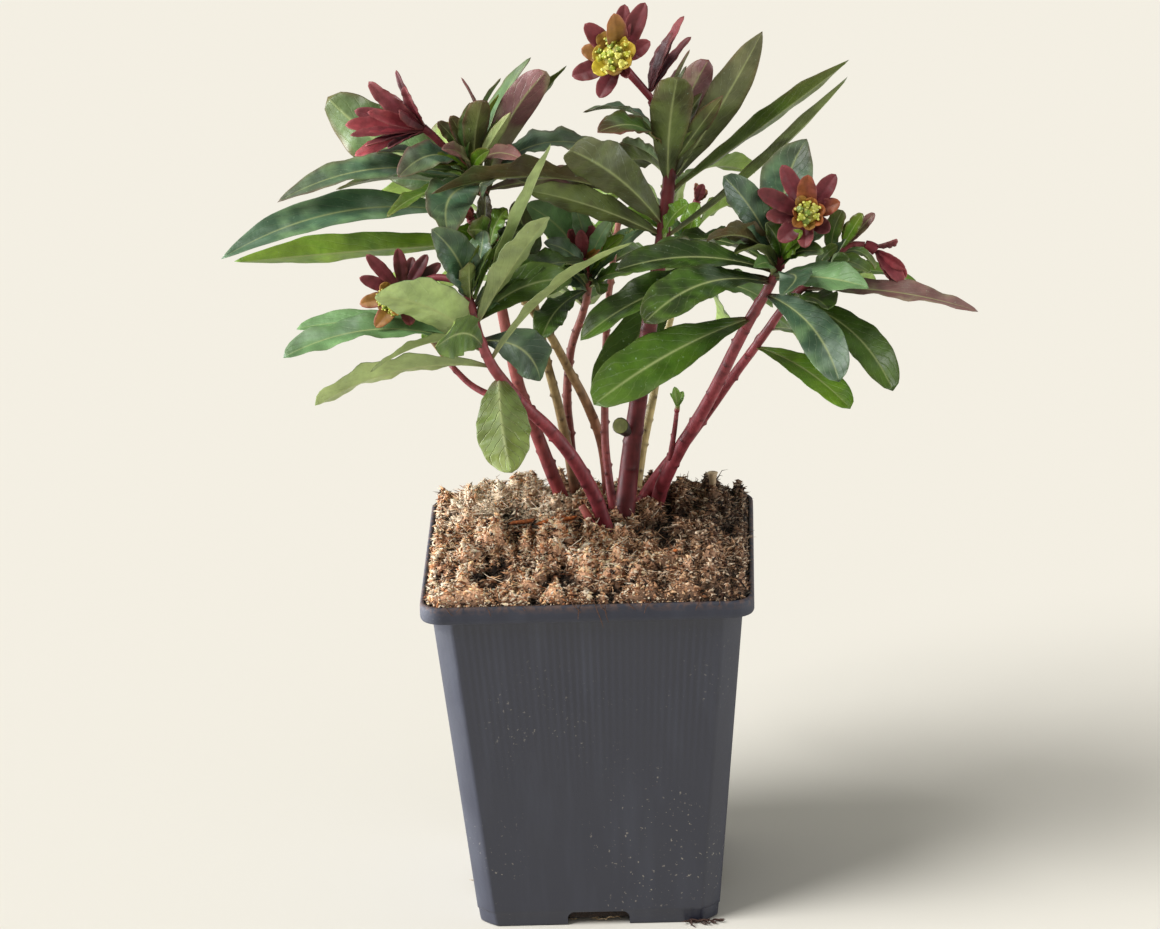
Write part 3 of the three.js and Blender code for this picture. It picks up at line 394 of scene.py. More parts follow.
pot_material = plastic.finish({
    "Base Color": grey, "Specular IOR Level": 0.7,
    "Roughness": plastic.maths("ADD", plastic.cloud(60, 4, 0.36, 0.5), matt_rim),
    "Normal": plastic.bump(plastic.noise(900, 3), 0.0001, 0.5)})
only_pot.objects.link(dress("pot_shell", pot_mesh, pot_material, "pot_plastic", "pot"))

# ---- peat -------------------------------------------------------------------------------------
# Coarse coconut and peat litter, heaped a little towards the stems and pressed in by hand: a
# crumbly plug with loose chips, threads and a few bits of orange bark on top.
GAP = 0.3                                       # room between the peat and the pot
SOIL_RISE = 4.2                                 # how far the peat is heaped above the pot's edge
SOIL_REACH = RIM_HALF - WALL - GAP
SOIL_EDGE, SOIL_CORNER = SOIL_REACH - 0.3, 5    # half width of the heap, how round its corners are
PLUG_CORNER = 9.5                               # how round the plug's corners are lower down
AROUND, RINGS = 380, 110                        # points round the heap, rings up to its middle
CRUMB_HEIGHTS = ((8.5, 3.4), (4.2, 2.7), (2.0, 1.1), (1.1, 0.5))   # size of lumps, how high
HEAPS = ((-25, 33, 9, 2.6), (4, 4, 13, -1.8), (34, 30, 7, -1.0),   # x, y, reach and rise
         (-9, -36, 5, -3.0), (-25, -30, 4, -2.2), (-20, 4, 5, -1.6))
CHIPS, EDGE_CHIPS, FLAKES, THREADS = 20000, 5000, 11000, 5200
SLOT_ROOTS, FOOT_ROOTS = 40, 26                 # rootlets in the drain slots, under the foot
PEAT_COLOURS = np.array([
    paint(222, 196, 168), paint(192, 152, 118), paint(150, 110, 80), paint(108, 70, 44),
    paint(68, 38, 21), paint(30, 16, 8)])
CHIP_SHARES = (0.22, 0.23, 0.2, 0.15, 0.12, 0.08)   # how many chips have each of these colours
# The plug's brown in painted shade, in its cracks, and in painted light, on its crumbs.
CRACK_SHADE_BROWN, CRUMB_LIGHT_BROWN = paint(20, 11, 6), paint(174, 134, 106)
PALEST_CRUMB, WHITE_FLUFF = paint(238, 216, 190), paint(238, 216, 186)
ORANGE_BARK, STRAND_BROWN = paint(186, 104, 52), paint(92, 62, 44)
ROOT_PALE, ROOT_DARK = paint(196, 170, 134), paint(78, 54, 46)
PALENESS = ((-40, -25, 5, 18, 40), (2.2, 2.2, 2.1, 1.0, 0.4))   # x, how pale litter is there
CROWN, CROWN_SPREAD = (4, 3), 120               # x and y of the stems' foot, how wide its shade is
LITTER_SEED, FLAKE_SEED, CRUMB_SEED, SHADE_SEED, DRIFT_SEED = 7, 17, 11, 21, 31
NOISE_CELLS = 24                                # random values a side before the noise repeats

# Dark strands over the pot's edge: x, and how far they hang down its front.
STRANDS = np.array([[-40, 2.5], [-34, 1.5], [-29, 3], [-17, 1.5], [-4, 2.5], [0.5, 4.5], [2, 7],
                    [3.5, 3], [5, 5.5], [11, 2], [19, 3], [30, 2.5], [37, 1.5]])
# Bits of orange bark: x, y, length and width. Slivers left of the stems: x, y, how much their
# heading leans to y and z, length and how pale they are.
BARK = np.array([[4, -19, 4.5, 2.6], [6, -20.5, 3.6, 2.2], [3.2, -18, 3.2, 2], [-9, -12, 3, 2.2],
                 [24, -26, 2.5, 1.6]])
SLIVERS = np.array([[-22, 0.5, 0.1, 0.02, 8, 0.6], [-15, 1.5, 0.2, 0.12, 9, 1],
                    [-9.5, 3, 0.3, 0.2, 6.5, 1.2]])


def unit(vectors):
    return vectors / np.linalg.norm(vectors, axis=-1, keepdims=True)


def circle(count):
    """Angles of that many even steps round a circle."""
    return np.arange(count) / count * 2 * np.pi


def swung(one, other, angle):
    """Direction that is turned by an angle from one towards the other, which is square to it."""
    return one * np.cos(angle) + other * np.sin(angle)


def spokes(along, aside, count):
    """Directions round a line, evenly spaced and square to it. aside is any way that the line
    doesn't take."""
    across = unit(np.cross(along, aside))
    over = np.cross(along, across)
    return swung(across[..., None, :], over[..., None, :], circle(count)[:, None])


def noise(places, cell, seed):
    """Smooth noise from -1 to 1: random values at the corners of cubes of side cell, blended
    from corner to corner by 3 s^2 - 2 s^3."""
    corners = np.random.default_rng(seed).uniform(-1, 1, (NOISE_CELLS,) * 3)
    scaled = places / cell
    low = np.floor(scaled).astype(int)
    share = scaled - low
    share = share * share * (3 - 2 * share)
    total = 0.0
    for corner in np.ndindex(2, 2, 2):
        weight = np.prod(np.where(corner, share, 1 - share), axis=-1)
        x, y, z = np.moveaxis((low + corner) % NOISE_CELLS, -1, 0)
        total = total + weight * corners[x, y, z]
    return total


def edge_along(ray, reach, leg):
    """How far the edge of a square of half width reach, its corners rounded by leg, lies from its
    middle along each ray of length 1: on a flat side or on the corner's circle."""
    wide, narrow = np.abs(ray).max(-1), np.abs(ray).min(-1)
    core = reach - leg
    middle = core * (wide + narrow)
    corner = middle + np.sqrt(np.maximum(middle ** 2 - 2 * core ** 2 + leg ** 2, 0))
    flat = reach / wide
    return np.where(flat * narrow <= core, flat, corner)


def outward_share(x, y):
    """Share of the way out from the middle of the peat to its edge."""
    place = np.stack([x, y], -1) + 1e-9
    far = np.linalg.norm(place, axis=-1)
    return far / edge_along(place / far[..., None], SOIL_EDGE, SOIL_CORNER)


def peat_height(x, y):
    """The heap: level with the pot's edge at the rim, higher towards the back, and rolled off by
    the sixth power of the share of the way out, with two slow waves of lumps on it."""
    outward = np.clip(outward_share(x, y), 0, 1)
    heap = SOIL_RISE * (1 + 0.25 * y / SOIL_REACH)
    swell = (0.7 * np.sin(0.31 * x + 1.3) * np.cos(0.27 * y - 0.6)
             + 0.4 * np.sin(0.63 * x - 0.41 * y + 2))
    return POT_HEIGHT - 0.3 + (heap + swell) * (1 - outward ** 6)


def on_level(x, y):
    """Points at the height of nought."""
    return np.stack([x, y, np.zeros_like(x)], -1)


def crumbs(x, y):
    """Height of the crumbly litter over the heap: four sizes of noise, each as its distance from
    nought, so that round clumps stand up and dark cracks run between them, and a few heaps."""
    total = 0.0
    for order, (size, rise) in enumerate(CRUMB_HEIGHTS):
        lumps = np.abs(noise(on_level(x, y), size, CRUMB_SEED + order))
        total = total + rise * (1.7 * lumps - 0.4)
    for heap_x, heap_y, reach, rise in HEAPS:
        total = total + rise * np.exp(-((x - heap_x) ** 2 + (y - heap_y) ** 2) / reach ** 2)
    return total


def soft_square(reach, leg, count):
    """Points anticlockwise round a square of that half width with its corners rounded by leg."""
    ray = np.stack([np.cos(circle(count)), np.sin(circle(count))], -1)
    return ray * edge_along(ray, reach, leg)[:, None]


def rolled(x, y):
    """Share of the crumbs' height: all of it but for the last millimetre before the edge."""
    return 1 - np.clip(outward_share(x, y), 0, 1) ** 60


edge = soft_square(SOIL_EDGE, SOIL_CORNER, AROUND)
outlines = [(height, soft_square(wall_half(height) - WALL - GAP, PLUG_CORNER, AROUND))
            for height in (POT_FLOOR + GAP, 30, 60, UNDER_RIM - 1.2)]
outlines += [(UNDER_RIM + 2.4, edge), (POT_HEIGHT - 0.9, edge)]
sides = np.array([np.column_stack([ring, np.full(AROUND, height)]) for height, ring in outlines])
inward_share = np.linspace(0, 0.992 ** 0.8, RINGS)[:, None, None] ** 1.25
top = edge[None] * (1 - inward_share)
x, y = np.moveaxis(top, -1, 0)
relief = crumbs(x, y) * rolled(x, y)
top = np.dstack([top, peat_height(x, y) + relief])
plug_rings = np.concatenate([sides, top])


def drift(x, y):
    """How pale the litter is from place to place, about 1: paler at the left, darker towards the
    right, with painted shade round the stems and slow patches."""
    # painted shade of the stems and leaves round their foot
    crown = np.exp(-((x - CROWN[0]) ** 2 + (y - CROWN[1]) ** 2) / CROWN_SPREAD)
    pale = np.interp(x, *PALENESS) - 0.008 * y
    pale = pale + 0.3 * noise(on_level(x, y), 8, DRIFT_SEED) - 0.6 * crown
    return np.clip(pale, 0.32, 2.4)


def fluff(x, y):
    """Share of whitish fibre, in one patch at the back left."""
    return np.clip(1 - np.hypot(x + 22, y - 22) / 20, 0, 1) ** 0.7


# The plug has painted shade down its sides and in the cracks, and painted light on its crumbs.
x, y, _ = np.moveaxis(plug_rings, -1, 0)
rise = np.concatenate([np.full(sides.shape[:2], -1.6), relief])
shade = 0.05 + 0.2 * rise + 0.25 * noise(on_level(x, y), 0.9, SHADE_SEED)
shade = np.clip(shade, 0, 1)[..., None]
plug_tint = toward(toward(CRACK_SHADE_BROWN, CRUMB_LIGHT_BROWN, shade), WHITE_FLUFF,
                   0.6 * fluff(x, y)[..., None] * shade)
plug_tint = np.clip(plug_tint * drift(x, y)[..., None], 0, 1)
plug_skin = closed_skin(np.array([0, 0, POT_FLOOR + GAP]), plug_rings, plug_rings[-1].mean(0),
                        tint=plug_tint)


def many(template, caps, quads, tint):
    """Many small closed shapes as one skin: template holds the points of each, (shape, point, 3),
    and all share the pattern of caps (triangles) and quads."""
    shapes, corners = template.shape[:2]
    shift = (np.arange(shapes) * corners)[:, None, None]
    return {"points": template.reshape(-1, 3),
            "quads": (quads[None] + shift).reshape(shapes * len(quads), 4),
            "caps": (caps[None] + shift).reshape(shapes * len(caps), 3),
            "tint": np.repeat(tint, corners, 0)}


def turned_about(rng, count):
    """Random turns, as matrices whose first column, the long way of a chip, lies nearly level."""
    along = unit(rng.normal(size=(count, 3)) * (1, 1, 0.45))
    across = unit(np.cross(along, rng.normal(size=(count, 3))))
    return np.stack([along, across, np.cross(along, across)], -1)


def chips(rng, x, y, lengths, widths, tint, lift=0.0):
    """Flat crumbs of litter: eight-sided lozenges, turned at random and lying on the heap."""
    corners = np.array([[1, 0, 0], [-1, 0, 0], [0, 1, 0], [0, -1, 0], [0, 0, 1], [0, 0, -1]])
    faces = np.array([[0, 2, 4], [2, 1, 4], [1, 3, 4], [3, 0, 4],
                      [2, 0, 5], [1, 2, 5], [3, 1, 5], [0, 3, 5]])
    sizes = np.stack([lengths, widths, widths * rng.uniform(0.35, 0.8, len(x))], -1) / 2
    local = corners * sizes[:, None] * (1 + 0.25 * rng.normal(size=(len(x), 6, 1)))
    height = peat_height(x, y) + crumbs(x, y) * rolled(x, y) + 0.15 + lift
    points = local @ turned_about(rng, len(x)).transpose(0, 2, 1)
    points += np.stack([x, y, height], -1)[:, None]
    return many(points, faces, np.zeros((0, 4), int), tint)


def tubes(path, radius, tint):
    """Three-sided tubes along the paths, (tube, step, 3), thin and closed at both ends."""
    count, steps = path.shape[:2]
    share = np.linspace(0, 1, steps)[None, :, None, None]
    taper = radius * np.sqrt(np.clip(1.02 - (2 * share - 1) ** 4, 0, 1))
    along = unit(np.gradient(path, axis=1))
    tube = path[:, :, None] + spokes(along, (0.3, 0.2, 1.0), 3) * taper
    pattern = closed_skin(np.zeros(3), np.zeros((steps, 3, 3)), np.zeros(3))
    points = np.concatenate([tube.reshape(count, -1, 3), path[:, :1], path[:, -1:]], 1)
    return many(points, pattern["caps"], pattern["quads"], tint)


def threads(rng, starts, headings, lengths, curl, radius, tint, steps=7):
    """Thin dry threads: each runs from its start along its heading, bends by the square of the
    share of the way and sways by a sine of it, both at random in x, y and z."""
    count, lengths = len(starts), lengths[:, None, None]
    share = np.linspace(0, 1, steps)[None, :, None]
    bend, sway = (rng.normal(size=(count, 1, 3)) * curl * lengths for _ in range(2))
    path = (starts[:, None] + headings[:, None] * lengths * share
            + bend * share ** 2 + 0.5 * sway * np.sin(2 * np.pi * share))
    return tubes(path, radius, np.broadcast_to(tint, (count, 3)))


def scattered(rng, count, margin):
    """Random places on the peat, that far inside the pot's edge."""
    reach = SOIL_REACH - margin
    places = rng.uniform(-reach, reach, (count * 2, 2))
    inside = outward_share(*places.T) < reach / SOIL_EDGE
    return places[inside][:count].T


def litter_tint(rng, x, y):
    """Colours of chips: picked by their shares, white in the fluff, with painted shade down in the
    cracks and painted light up on the crumbs, and paler or darker from place to place."""
    picked = rng.choice(len(PEAT_COLOURS), len(x), p=CHIP_SHARES)
    near_fluff = np.clip(fluff(x, y) * 1.5 * (rng.uniform(0, 1, len(x)) > 0.4), 0, 1)[:, None]
    tint = PEAT_COLOURS[picked] * rng.uniform(0.75, 1.15, (len(x), 1))
    # painted shade for chips low in the cracks, painted light for chips up on the crumbs
    crumb_light_crack_shade = np.clip(0.3 + 0.52 * crumbs(x, y) * rng.uniform(0.6, 1.4, len(x)), 0.05, 1.35)
    tint = crumb_light_crack_shade[:, None] * toward(tint, 0.9 * WHITE_FLUFF, near_fluff)
    return np.clip(tint * drift(x, y)[:, None], 0, 1)


# Chips lie all over the heap, more of them all along the pot's edge, and few in the cracks.
litter = np.random.default_rng(LITTER_SEED)
x, y = scattered(litter, CHIPS, 0.3)
inset = 1 - 0.07 * litter.power(0.7, EDGE_CHIPS)[:, None]
edge_chips = soft_square(SOIL_REACH - 0.15, SOIL_CORNER, EDGE_CHIPS) * inset
x, y = np.concatenate([(x, y), edge_chips.T], 1)
kept = crumbs(x, y) > litter.uniform(-2.4, 0.2, len(x))
x, y = x[kept], y[kept]
chip_tint = litter_tint(litter, x, y)
lengths = np.clip(litter.gamma(2.0, 0.44, len(x)) + 0.4, 0, 2.6)
widths = lengths * litter.uniform(0.18, 0.65, len(x))
chip_skins = [chips(litter, x, y, lengths, widths, chip_tint)]

# Longer flakes lie between them.
flakes = np.random.default_rng(FLAKE_SEED)
x, y = scattered(flakes, FLAKES, 1.2)
lengths = flakes.uniform(1.3, 3.2, len(x))
widths = lengths * flakes.uniform(0.16, 0.42, len(x))
flake_skin = chips(flakes, x, y, lengths, widths, litter_tint(flakes, x, y), lift=0.1)

# Threads lie on top, white in the fluff and with painted shade in the cracks.
x, y = scattered(litter, THREADS, 3.0)
headings = unit(litter.normal(size=(len(x), 3)) * (1, 1, 0.2))
starts = np.stack([x, y, peat_height(x, y) + crumbs(x, y) * 0.8 + 0.4], -1)
picked = litter.choice(len(PEAT_COLOURS), len(x))
thread_tint = PEAT_COLOURS[picked] * litter.uniform(0.7, 1.0, (len(x), 1))
near_fluff = np.clip(fluff(x, y) * litter.uniform(0, 1.8, len(x)), 0, 1)[:, None]
# painted shade for threads down in the cracks and painted light up on the crumbs, with the litter's
# paleness from place to place
crumb_light_crack_shade = np.clip(0.45 + 0.45 * crumbs(x, y), 0.1, 1.1) * drift(x, y)
thread_tint = toward(thread_tint, WHITE_FLUFF, near_fluff) * crumb_light_crack_shade[:, None]
lengths = np.minimum(litter.gamma(3, 0.75, len(x)) + 0.8, 5.5)
thread_skins = [threads(litter, starts, headings, lengths, curl=0.22, radius=0.12,
                        tint=np.clip(thread_tint, 0, 1), steps=5)]

# The strands run over the pot's edge, sway a little and hang down by their drop.
strand_x, strand_drop = STRANDS.T[..., None]
hang = np.linspace(0, 1, 12)[None]
sway = litter.normal(size=(len(STRANDS), 1))
strand_path = np.stack(np.broadcast_arrays(
    strand_x + sway * 2.2 * hang + 0.5 * np.sin(5 * hang + 3 * sway),
    -SOIL_REACH + 1.2 - 3.4 * np.clip(hang / 0.45, 0, 1) ** 0.8 + 0.2 * np.sin(7 * hang),
    POT_HEIGHT + 0.9 - 0.5 * hang - strand_drop * np.clip((hang - 0.4) / 0.6, 0, 1) ** 1.2), -1)
strand_tint = np.tile(STRAND_BROWN, (len(STRANDS), 1))
thread_skins.append(tubes(strand_path, radius=0.13, tint=strand_tint))

chip_skins.append(chips(litter, *BARK.T, np.tile(ORANGE_BARK, (len(BARK), 1)), lift=1.2))
x, y, lean_y, lean_z, lengths, pale = SLIVERS.T
starts = np.stack([x, y, peat_height(x, y) + 3.1], -1)
headings = unit(np.stack([np.ones_like(x), lean_y, lean_z], -1))
thread_skins.append(threads(litter, starts, headings, lengths, curl=0.06, radius=0.75,
                            tint=ORANGE_BARK * pale[:, None]))

# Pale rootlets show in the drain slots, and dark ones creep out under the pot's right foot. Each
# stays above the floor.
starts = np.stack([litter.uniform(-7, 7, SLOT_ROOTS),
                   litter.uniform(-BODY_HALF_FOOT + 1.2, -BODY_HALF_FOOT + 8, SLOT_ROOTS),
                   litter.uniform(0.5, 2.4, SLOT_ROOTS)], -1)
starts = (starts.reshape(4, -1, 3) @ QUARTER_TURNS).reshape(-1, 3)
headings = unit(litter.normal(size=(SLOT_ROOTS, 3)) * (1, 1, 0.1))
slot_roots = threads(litter, starts, headings, litter.uniform(3, 6, SLOT_ROOTS), curl=0.12,
                     radius=0.16, tint=ROOT_PALE)
starts = np.stack([litter.uniform(24, BODY_HALF_FOOT - 1, FOOT_ROOTS),
                   np.full(FOOT_ROOTS, -BODY_HALF_FOOT + 0.2),
                   litter.uniform(0.3, 1.0, FOOT_ROOTS)], -1)
headings = unit(litter.normal(size=(FOOT_ROOTS, 3)) * (1, 0.25, 0.08) + (0.5, -0.25, 0.05))
foot_roots = threads(litter, starts, headings, litter.uniform(2, 4.5, FOOT_ROOTS), curl=0.06,
                     radius=0.2, tint=ROOT_DARK)
for roots in (slot_roots, foot_roots):
    roots["points"][:, 2] = np.abs(roots["points"][:, 2])
    thread_skins.append(roots)

peat_look = Finish("peat_litter")
speckle = peat_look.step(peat_look.noise(1500, 4), 0.34, 0.68, 0.5, 1.52)
peat_colour = peat_look.mix(1.0, peat_look.tinted(speckle), PALEST_CRUMB, "DARKEN")
peat_material = peat_look.finish({
    "Base Color": peat_colour, "Roughness": 0.95,
    "Normal": peat_look.bump(peat_look.noise(1100, 4), 0.0009, 1.0)})
dress("peat_plug", mesh_of("peat_plug", [plug_skin]), peat_material, "peat", "soil")
dress("peat_litter", mesh_of("peat_litter", chip_skins), peat_material, "peat")
dress("peat_flakes", mesh_of("peat_flakes", [flake_skin]), peat_material, "peat")
dress("peat_threads", mesh_of("peat_threads", thread_skins), peat_material, "peat")

# ---- stems ------------------------------------------------------------------------------------
# Smooth fleshy stems that spread from one crown in the peat: wine red at the foot, some turning
# olive higher up, each with small dark nubs where old leaves have dropped.
STEM_DEPTH = 15.0                               # length of a stem inside the peat
HOLD = 0.15                                     # half the gap between a bare stem and its top
WINE_DARK, WINE_DEEP = paint(82, 29, 31), paint(102, 39, 43)
WINE, WINE_PALE = paint(120, 42, 50), paint(134, 64, 68)
OLIVE_STEM, STRAW_STEM, PINK_STEM = paint(148, 126, 84), paint(186, 170, 116), paint(154, 96, 84)
NUB_COLOUR = paint(50, 22, 24)

# Routes are rows of [across, up, deep]: where the sight line from EYE meets the upright plane
# through the pot's middle, and how far behind that plane the point lies. Radius and looks run
# from foot to tip; where there is a turn, the looks reach the tip's by that share of the way.
STEMS = {
    "front_left": {
        "route": [[4.8, 103.4, 3.5], [2, 113, 1], [-3.5, 124, -4], [-10, 133, -9],
                  [-17, 140.5, -15], [-21.5, 146.5, -19], [-25, 152, -23], [-28, 160, -26],
                  [-29.5, 168, -28], [-31, 173, -28]],
        "radius": [2.1, 1.1], "leafy_from": 145.5, "looks": [WINE, WINE_PALE]},
    "right_front": {
        "route": [[18.5, 109.5, 19], [21, 117, 10.5], [25.5, 126, 5], [31, 135, 0],
                  [36, 144, -6], [41, 154, -11], [46, 163.5, -16], [50.5, 171, -19],
                  [53.5, 177, -20], [57, 184, -21]],
        "radius": [2.05, 1.2], "leafy_from": 161, "looks": [WINE, WINE_PALE]},
    "centre": {
        "route": [[9.5, 104.5, 9], [11.5, 120, 9.5], [14.3, 138, 8], [17.3, 156, 5],
                  [20.5, 174, 3], [23.5, 192, 2], [25, 206, 1], [24, 217, 0], [21, 225, -2]],
        "radius": [2.9, 1.3], "leafy_from": 181, "looks": [WINE_DARK, WINE_DEEP]},
    "upper_left": {
        "route": [[-6, 110, 22], [-9.5, 120, 20], [-14, 134, 17], [-17.5, 145, 14],
                  [-20, 158, 12], [-22.5, 175, 10], [-24, 190, 8], [-25.2, 201, 6],
                  [-28.5, 206.5, 5], [-32.5, 210.5, 4]],
        "radius": [2.0, 1.0], "leafy_from": 181, "looks": [WINE, PINK_STEM]},
    "right_back": {
        "route": [[13.2, 107.2, 14.5], [16.2, 114, 18.2], [21.5, 121.5, 19], [27, 128, 17],
                  [33, 136, 12], [39, 144.5, 6], [45, 152.5, 0], [50.5, 160, -5],
                  [54.5, 165.5, -8], [58.5, 170, -10], [64, 174.5, -12]],
        "radius": [1.7, 1.0], "leafy_from": 153, "looks": [WINE, WINE_PALE]},
    "side_right": {
        "route": [[62, 172.6, -11.4], [66, 176.5, -11], [70, 181, -10], [73.5, 183.3, -10],
                  [77.2, 183.3, -10]],
        "radius": [0.9, 0.7], "leafy_from": 0, "branch_of": "right_back",
        "looks": [WINE, WINE_PALE]},
    "mid": {
        "route": [[-3.6, 114.5, 33], [-4.2, 131, 30], [-4.6, 143, 27], [-3, 156, 24],
                  [0.5, 166, 20], [2.2, 173, 17], [2, 178, 14]],
        "radius": [1.35, 0.9], "leafy_from": 164, "looks": [WINE_DARK, PINK_STEM]},
    "mid_left": {
        "route": [[-3.2, 113, 28], [-4.5, 124, 25.5], [-7, 139, 22], [-9.8, 152, 19],
                  [-11.5, 163, 16], [-14, 174, 11.5], [-18.5, 180.5, 6]],
        "radius": [1.5, 0.9], "leafy_from": 160, "looks": [WINE_DARK, OLIVE_STEM], "turn": 0.42},
    "inner_left": {
        "route": [[5.8, 111.5, 27], [4.6, 127, 26], [1, 139, 23], [-4, 150, 19],
                  [-8.5, 159.5, 13.5], [-14, 168, 7], [-20, 177, 1], [-24.5, 185, -4],
                  [-27, 190, -6]],
        "radius": [1.5, 0.8], "leafy_from": 171, "looks": [WINE, OLIVE_STEM], "turn": 0.5},
    "back_right": {
        "route": [[12.5, 110, 24], [14, 118, 26], [15.8, 128, 28], [18.3, 139, 30],
                  [21, 152, 32], [25, 167, 34], [28, 181, 35], [30.5, 193, 36]],
        "radius": [1.35, 0.8], "leafy_from": 158, "looks": [OLIVE_STEM, STRAW_STEM]},
    "back": {
        "route": [[7, 108, 14.5], [6, 118, 17], [5.3, 128, 19], [5.5, 138, 22], [6, 150, 27],
                  [7, 165, 34], [9, 180, 40], [11, 192, 44]],
        "radius": [1.25, 0.8], "leafy_from": 160, "looks": [WINE, PINK_STEM]},
}
# Bare twigs by the stem they are on: route, radius at the foot and at the tip.
TWIGS = {
    "right_front": ([[23.2, 119.5, 9], [23.2, 125, 5], [24.2, 131, 4], [25.1, 137, 3]],
                    (0.9, 0.6)),
    "front_left": ([[-17.5, 141.2, -15.5], [-24, 142.5, -13], [-30.5, 146, -10], [-36, 152, -8]],
                   (1.1, 0.75)),
}
STEM_SIDES, TWIG_SIDES = 16, 12
STEM_NUBS, TWIG_NUBS = 17, 4
STEM_SEED, TWIG_SEED = 40, 90


def at(places):
    """Points in mm for rows of [across, up, deep]: each lies on the sight line from EYE through
    (across, 0, up), where that line is deep behind the plane y = 0."""
    places = np.asarray(places, float)
    on_plane = np.stack([places[..., 0], np.zeros(places.shape[:-1]), places[..., 1]], -1)
    return EYE + (on_plane - EYE) * (places[..., 2:3] - EYE[1]) / -EYE[1]


def along_route(places, shares):
    """Catmull-Rom curve through the places: between two of them a cubic whose slope at each is
    half the step from the place before it to the place after it."""
    places = np.asarray(places, float)
    held = np.vstack([2 * places[0] - places[1], places, 2 * places[-1] - places[-2]])
    reach = np.clip(shares, 0, 1) * (len(places) - 1)
    piece = np.minimum(reach.astype(int), len(places) - 2)
    t = (reach - piece)[:, None]
    a, b, c, d = held[piece], held[piece + 1], held[piece + 2], held[piece + 3]
    return 0.5 * (2 * b + (c - a) * t + (2 * a - 5 * b + 4 * c - d) * t ** 2
                  + (3 * b - a - 3 * c + d) * t ** 3)


def share_at(route, up):
    """Share of the route, 0 to 1, at which it first reaches a height."""
    shares = np.linspace(0, 1, 401)
    reached = along_route(route, shares)[:, 1] >= up
    return shares[np.argmax(reached)] if reached.any() else 1.0


def route_length(route):
    steps = along_route(route, np.linspace(0, 1, 201))
    return np.linalg.norm(np.diff(steps, axis=0), axis=1).sum()


def limb(path, radii, tints, seed, nubs=(), sides=STEM_SIDES, uneven=0.04):
    """Round limb: ring k is a circle of radius radii[k] about path[k], square to the path. The
    skin swells by a slow noise, and by a small round hump at each nub, given as (share of the
    path, angle). tints has a colour for each ring, darkened on the nubs and in a ring at each."""
    out = spokes(unit(np.gradient(path, axis=0)), (0.12, 1.0, 0.05), sides)
    share = np.linspace(0, 1, len(path))[:, None]
    length = np.linalg.norm(np.diff(path, axis=0), axis=1).sum()
    hump, scar = np.zeros((len(path), sides)), 0
    for nub_share, nub_angle in nubs:
        apart = np.abs((circle(sides) - nub_angle + np.pi) % (2 * np.pi) - np.pi)[None]
        hump += np.exp(-((share - nub_share) * length / 0.55) ** 2 - (apart / 0.4) ** 2)
        scar = np.maximum(scar, np.exp(-((share - nub_share) * length / 0.4) ** 2))
    hump = np.clip(hump, 0, 1)
    radii = radii[:, None]
    swell = 1 + uneven * noise(path[:, None] + out * 3, 4.0, seed)
    swell += 0.5 * hump / np.maximum(radii, 0.6)
    rings = path[:, None] + out * (radii * swell)[..., None]
    mottle = (1 + 0.24 * noise(rings, 9.0, seed + 3) + 0.24 * noise(rings, 2.6, seed + 1)
              + 0.2 * noise(rings, 0.9, seed + 2) - 0.16 * scar)[..., None]
    tint = toward(tints[:, None] * mottle, NUB_COLOUR, 0.85 * hump[..., None])
    return closed_skin(path[0], rings, path[-1], tint=np.clip(tint, 0, 1), grain=np.zeros(3))


def spiral(count, start, end, turn):
    """Nubs in an uneven spiral up a limb, each turned by the golden angle from the one below."""
    return [(start + (end - start) * (k + 0.3 * np.sin(7.3 * k + 9 * turn)) / (count - 1),
             (turn + 2.4 * k) % (2 * np.pi)) for k in range(count)]


def blend(low, high, share):
    """Colour from low to high along a limb."""
    return toward(low, high, np.clip(share, 0, 1)[:, None])


bark = Finish("stem_skin")
fine_streaks = bark.cloud(900, 3, 0.76, 1.22, bark.stretched(1, 1, 0.25))
stem_material = bark.finish({
    "Base Color": bark.tinted(fine_streaks), "Specular IOR Level": 0.3,
    "Roughness": bark.cloud(240, 2, 0.42, 0.6),
    "Normal": bark.bump(bark.noise(700, 3, bark.stretched(1, 1, 0.4)), 0.00012, 0.6)})

main_stems = [name for name in STEMS if "branch_of" not in STEMS[name]]
for order, name in enumerate(main_stems):
    stem = STEMS[name]
    route = stem["route"]
    shares = np.linspace(0, share_at(route, stem["leafy_from"]) - HOLD / route_length(route), 120)
    path = at(along_route(route, shares))
    path = np.vstack([path[0] - np.outer((STEM_DEPTH, 9, 4, 2), (0, 0, 1)), path])
    shares = np.concatenate([np.zeros(4), shares])
    risen = np.clip(shares / stem.get("turn", 1), 0, 1) ** 0.8
    skins = [limb(path, toward(*stem["radius"], shares), blend(*stem["looks"], risen),
                  STEM_SEED + 7 * order, spiral(STEM_NUBS, 0.16, 0.98, order * 1.7))]
    if name in TWIGS:
        route, radius = TWIGS[name]
        shares = np.linspace(0, 1, 24)
        skins.append(limb(at(along_route(route, shares)), toward(*radius, shares),
                          blend(WINE, WINE_PALE, shares), TWIG_SEED + order,
                          spiral(TWIG_NUBS, 0.25, 0.9, order), TWIG_SIDES))
    dress(f"stem_skin_{name}", mesh_of(f"stem_skin_{name}", skins), stem_material,
          "stem_wine", f"stem_{name}")

